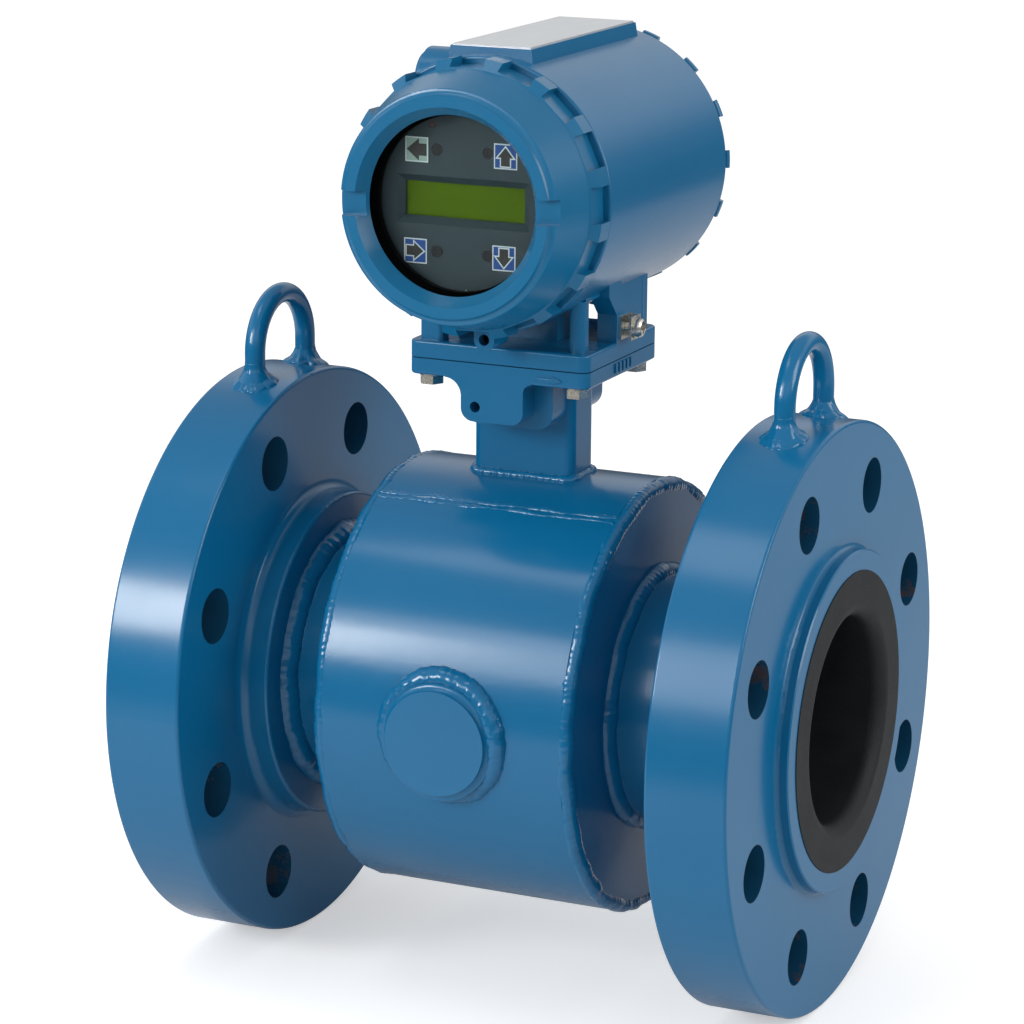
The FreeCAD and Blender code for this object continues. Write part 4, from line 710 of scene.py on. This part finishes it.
# ---------------------------------------------------------------------------------------------
# Name plate.  Thin bare aluminium, brushed lengthwise and left blank, flat on the casting's
# raised pad.  The thicker carrier of the circuit boards inside the head is of the same metal.
# ---------------------------------------------------------------------------------------------
plate_metal, tree, shader = finish_of("brushed_aluminium", Metallic=0.6)
brushing = add(tree, "ShaderNodeMapping", {"Vector": object_place(tree), "Scale": (1400.0, 25.0, 1400.0)})
lines = noise(tree, brushing.outputs[0], 1.0, 3.0)
tree.links.new(blend(tree, lines, linear(216, 221, 225), linear(236, 240, 243)), shader.inputs["Base Color"])
tree.links.new(math_step(tree, "MULTIPLY_ADD", lines, 0.2, 0.25), shader.inputs["Roughness"])
dress(plate_metal, "name_plate", "board_carrier")


# ---------------------------------------------------------------------------------------------
# Covers and window.  Cast covers that screw on; toughened glass in the front one, held from
# behind by a black anodised ring.
# ---------------------------------------------------------------------------------------------
cover_paint = cast_finish("cover_enamel", (18, 102, 144), (12, 95, 137))
dress(cover_paint, "front_cover", "rear_cover")
glass = finish_of("window_glass", Base_Color=(0.9, 0.94, 0.93, 1.0), Roughness=0.02, IOR=1.2,
                  Transmission_Weight=1.0)[0]
dress(glass, "front_cover_glass")
dress(steel_finish("black_anodised_ring", (24, 25, 27), (15, 16, 18), rough=0.55), "glass_retaining_ring")


# ---------------------------------------------------------------------------------------------
# Display.  Moulded grey bezel, olive liquid crystal panel behind its sloped window, four
# optical switch lenses, a status lamp, and printed arrows beside the switches.
# ---------------------------------------------------------------------------------------------
def plastic_finish(name, colour, rough):
    """Moulded plastic with a very fine grain."""
    grain_height = 0.000015
    material, tree, shader = finish_of(name, IOR=1.49)
    fine = noise(tree, object_place(tree), 1500.0, 3.0)
    darker = linear(*[part * 0.94 for part in colour])
    lighter = linear(*[min(part * 1.06, 255) for part in colour])
    tree.links.new(blend(tree, fine, darker, lighter), shader.inputs["Base Color"])
    tree.links.new(math_step(tree, "MULTIPLY_ADD", fine, 0.1, rough - 0.05), shader.inputs["Roughness"])
    bump(tree, shader, fine, grain_height)
    return material


bezel_low, bezel_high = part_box("display_bezel")
bezel_middle = (bezel_low + bezel_high) / 2
# Painted shade: towards its rim the bezel's colour darkens nearly to black, standing in for the shade of the
# cover ring round it.
painted_shade_start, painted_shade_end = 0.036, 0.0442
bezel_plastic = plastic_finish("bezel_plastic", (34, 55, 64), 0.6)
tree = bezel_plastic.node_tree
shader = tree.nodes["Principled BSDF"]
flat = add(tree, "ShaderNodeVectorMath", {0: object_place(tree), 1: (1.0, 0.0, 1.0)}, operation="MULTIPLY")
flat_middle = (bezel_middle.x, 0.0, bezel_middle.z)
from_middle = add(tree, "ShaderNodeVectorMath", {0: flat.outputs[0], 1: flat_middle},
                  operation="DISTANCE").outputs["Value"]
edge = ramp(tree, from_middle, painted_shade_start, painted_shade_end, 0.0, 0.85, "SMOOTHSTEP")
painted_rim_shade = blend(tree, edge, shader.inputs["Base Color"].links[0].from_socket, linear(12, 14, 17))
tree.links.new(painted_rim_shade, shader.inputs["Base Color"])
dress(bezel_plastic, "display_bezel")
dress(plastic_finish("lens_plastic", (18, 24, 30), 0.3), "switch_lenses")
dress(plastic_finish("lamp_plastic", (58, 34, 40), 0.25), "status_lamp")
dress(plastic_finish("board_laminate", (24, 84, 52), 0.35), "display_board", "main_board", "power_board")
dress(plastic_finish("cream_insulator", (214, 208, 188), 0.45), "display_spacers", "main_board_spacers",
      "power_board_spacers", "feedthrough", "electrode_insulators")
dress(plastic_finish("terminal_plastic", (30, 31, 33), 0.45), "terminal_block")

lcd, tree, shader = finish_of("olive_lcd", IOR=1.2, Roughness=0.35)
cells = noise(tree, object_place(tree), 60.0, 2.0)
tree.links.new(blend(tree, cells, linear(72, 100, 0), linear(82, 112, 2)), shader.inputs["Base Color"])
dress(lcd, "lcd_panel")

ink = 0.00005


def print_on_bezel(name, outline, centre, material, turns=0, layer=0):
    """One layer of ink: an outline of (x, z) points turned by quarter turns about its own middle."""
    for _ in range(turns):
        outline = [(-z, x) for x, z in outline]
    front = bezel_low.y - layer * ink
    points = [(centre[0] + x, front, bezel_middle.z + centre[1] + z) for x, z in outline]
    mark = raised_piece(name, [points], (0, -ink, 0), material)
    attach(mark, "meter")


def square(half):
    """The four corners of a square round its middle."""
    return [(-half, -half), (half, -half), (half, half), (-half, half)]


arrow = arrow_outline(0.00265, 0.0049, -0.00475, -0.0011, 0.0048)
heart = arrow_outline(0.0021, 0.0037, -0.0042, -0.00055, 0.0039)
chevron = [(-0.0011, -0.0010), (-0.0007, -0.0010), (0.0, 0.0005), (0.0007, -0.0010), (0.0011, -0.0010),
           (0.0002, 0.0010), (-0.0002, 0.0010)]
print_white = plastic_finish("print_white", (206, 218, 220), 0.5)
print_blue = plastic_finish("print_blue", (0, 70, 146), 0.6)
print_grey = plastic_finish("print_grey", (150, 176, 168), 0.5)
print_dark = plastic_finish("print_dark", (42, 42, 40), 0.5)
for label, centre, turns, ground, mark in (("left", (-0.0220, 0.0218), 1, print_grey, print_dark),
                                           ("up", (0.0204, 0.0214), 0, print_blue, print_white),
                                           ("right", (-0.0226, -0.0228), 3, print_blue, print_white),
                                           ("down", (0.0199, -0.0230), 2, print_blue, print_white)):
    print_on_bezel("key_edge_" + label, square(0.0055), centre, print_white)
    print_on_bezel("key_field_" + label, square(0.00495), centre, ground, layer=1)
    print_on_bezel("key_arrow_" + label, arrow, centre, mark, turns, layer=2)
    print_on_bezel("key_heart_" + label, heart, centre, print_dark, turns, layer=3)
print_on_bezel("level_mark", chevron, (0.0019, -0.0391), print_grey)


# ---------------------------------------------------------------------------------------------
# Sealed inside.  Copper field coils wound on iron pole pieces, an iron band that leads the
# field back round the tube, and alloy studs through the liner that touch the liquid.
# ---------------------------------------------------------------------------------------------
copper = steel_finish("enamelled_copper_wire", (190, 104, 60), (140, 66, 34), rough=0.35, grain=300.0)
iron = steel_finish("core_iron", (98, 98, 100), (66, 66, 68), rough=0.55, grain=400.0)
electrode_metal = steel_finish("electrode_alloy", (206, 202, 194), (176, 172, 164), rough=0.2)
dress(copper, "upper_coil", "lower_coil")
dress(iron, "upper_pole_piece", "lower_pole_piece", "flux_return_band")
dress(electrode_metal, "front_electrode", "rear_electrode", "electrode_nuts")


# ---------------------------------------------------------------------------------------------
# Floor and room.  A matt white floor that keeps the meter's shadow, in a white room whose
# walls and ceiling are a little darker where the gloss of the paint shows them.
# ---------------------------------------------------------------------------------------------
floor_gap = 0.0002
floor_height = cad_box[0].z - floor_gap
floor_reach = 40.0
floor_mesh = bpy.data.meshes.new("floor")
floor_corners = [(across * floor_reach, along * floor_reach, floor_height)
                 for across, along in ((-1, -1), (1, -1), (1, 1), (-1, 1))]
floor_mesh.from_pydata(floor_corners, [], [(0, 1, 2, 3)])
floor = in_scene("floor", floor_mesh)
floor_finish, tree, shader = finish_of("white_floor", Base_Color=(0.82, 0.82, 0.82, 1.0), Roughness=0.9,
                                       Specular_IOR_Level=0.0)
shader.inputs["Emission Color"].default_value = (1.0, 1.0, 1.0, 1.0)
sight = add(tree, "ShaderNodeLightPath")
clear = math_step(tree, "MAXIMUM", sight.outputs["Is Camera Ray"], sight.outputs["Is Transmission Ray"])
direct_glow, glossy_glow = 0.45, 0.03
seen = math_step(tree, "MULTIPLY_ADD", sight.outputs["Is Glossy Ray"], glossy_glow,
                 math_step(tree, "MULTIPLY", clear, direct_glow))
tree.links.new(seen, shader.inputs["Emission Strength"])
place = object_place(tree)
# Painted shade in reflections: to glossy rays only, the floor is painted dark away from a pool beside the
# meter and towards +X, standing in for the meter's shadow and a dim studio.
pool_middle = (-0.1, 0.45, floor_height)
away = add(tree, "ShaderNodeVectorMath", {0: place, 1: pool_middle}, operation="DISTANCE").outputs["Value"]
far = ramp(tree, away, 0.9, 1.45, 0.0, 1.0, "SMOOTHSTEP")
eastward = add(tree, "ShaderNodeSeparateXYZ", {0: place}).outputs["X"]
east = ramp(tree, eastward, 0.0, 0.4, 0.0, 0.45)
dim = math_step(tree, "MULTIPLY", math_step(tree, "MAXIMUM", far, east), sight.outputs["Is Glossy Ray"])
tree.links.new(blend(tree, dim, (0.8, 0.8, 0.8, 1.0), (0.07, 0.07, 0.07, 1.0)), shader.inputs["Base Color"])
floor_mesh.materials.append(floor_finish)

world = bpy.data.worlds.new("studio")
bpy.context.scene.world = world
world.use_nodes = True
tree = world.node_tree
background = tree.nodes["Background"]
sight = add(tree, "ShaderNodeLightPath")
direction = add(tree, "ShaderNodeTexCoord").outputs["Generated"]
way = add(tree, "ShaderNodeSeparateXYZ", {0: direction}).outputs["Z"]
walls = ramp(tree, way, 0.04, 0.36, 0.15, 0.9, "SMOOTHSTEP")
ceiling = ramp(tree, way, 0.45, 0.68, 0.0, 0.45, "SMOOTHSTEP")
room = math_step(tree, "SUBTRACT", walls, ceiling)
clear = math_step(tree, "MAXIMUM", sight.outputs["Is Camera Ray"], sight.outputs["Is Transmission Ray"])
plain_level, white = 0.72, 1.0
shiny = add(tree, "ShaderNodeMix", {0: sight.outputs["Is Glossy Ray"], 2: plain_level, 3: room})
strength = add(tree, "ShaderNodeMix", {0: clear, 2: shiny.outputs[0], 3: white})
tree.links.new(strength.outputs[0], background.inputs["Strength"])
background.inputs["Color"].default_value = (1.0, 1.0, 1.0, 1.0)


# ---------------------------------------------------------------------------------------------
# Lamps and camera.  Four soft boxes and a long lens: key and fill from the front left, one
# overhead, one from the right.
# ---------------------------------------------------------------------------------------------
def soft_light(name, place, target, width, height, power):
    """A rectangular soft box turned to its target."""
    lamp = bpy.data.lights.new(name, "AREA")
    lamp.shape = "RECTANGLE"
    lamp.size = width
    lamp.size_y = height
    lamp.energy = power
    holder = in_scene(name, lamp)
    holder.location = place
    holder.rotation_euler = (Vector(target) - Vector(place)).to_track_quat("-Z", "Y").to_euler()


soft_light("key_light", (-1.12, -1.53, 0.74), (0, 0, 0.05), 0.6, 0.52, 14.0)
soft_light("fill_light", (-0.70, -1.75, 0.90), (0, 0, 0.05), 0.8, 0.8, 6.5)
soft_light("top_light", (-0.50, -0.55, 1.80), (0, 0, 0.1), 0.8, 0.5, 2.6)
soft_light("side_light", (1.9, 0.1, 0.9), (0.1, 0, 0.0), 1.0, 1.0, 13.0)

eye = Vector((0.6717, -1.5015, 0.4951))
yaw, pitch, roll = math.radians(24.44), math.radians(14.17), math.radians(0.40)
forward = Vector((-math.sin(yaw) * math.cos(pitch), math.cos(yaw) * math.cos(pitch), -math.sin(pitch)))
level = forward.cross(Vector((0, 0, 1))).normalized()
upward = level.cross(forward)
right = math.cos(roll) * level + math.sin(roll) * upward
up = -math.sin(roll) * level + math.cos(roll) * upward
camera_data = bpy.data.cameras.new("camera")
camera_data.sensor_width = 36.0
camera_data.lens = 129.1
camera_data.clip_start = 0.01
camera_data.clip_end = 100.0
camera = in_scene("camera", camera_data)
camera.matrix_world = Matrix.Translation(eye) @ Matrix((right, up, -forward)).transposed().to_4x4()
bpy.context.scene.camera = camera
bpy.context.scene.view_settings.view_transform = "Standard"
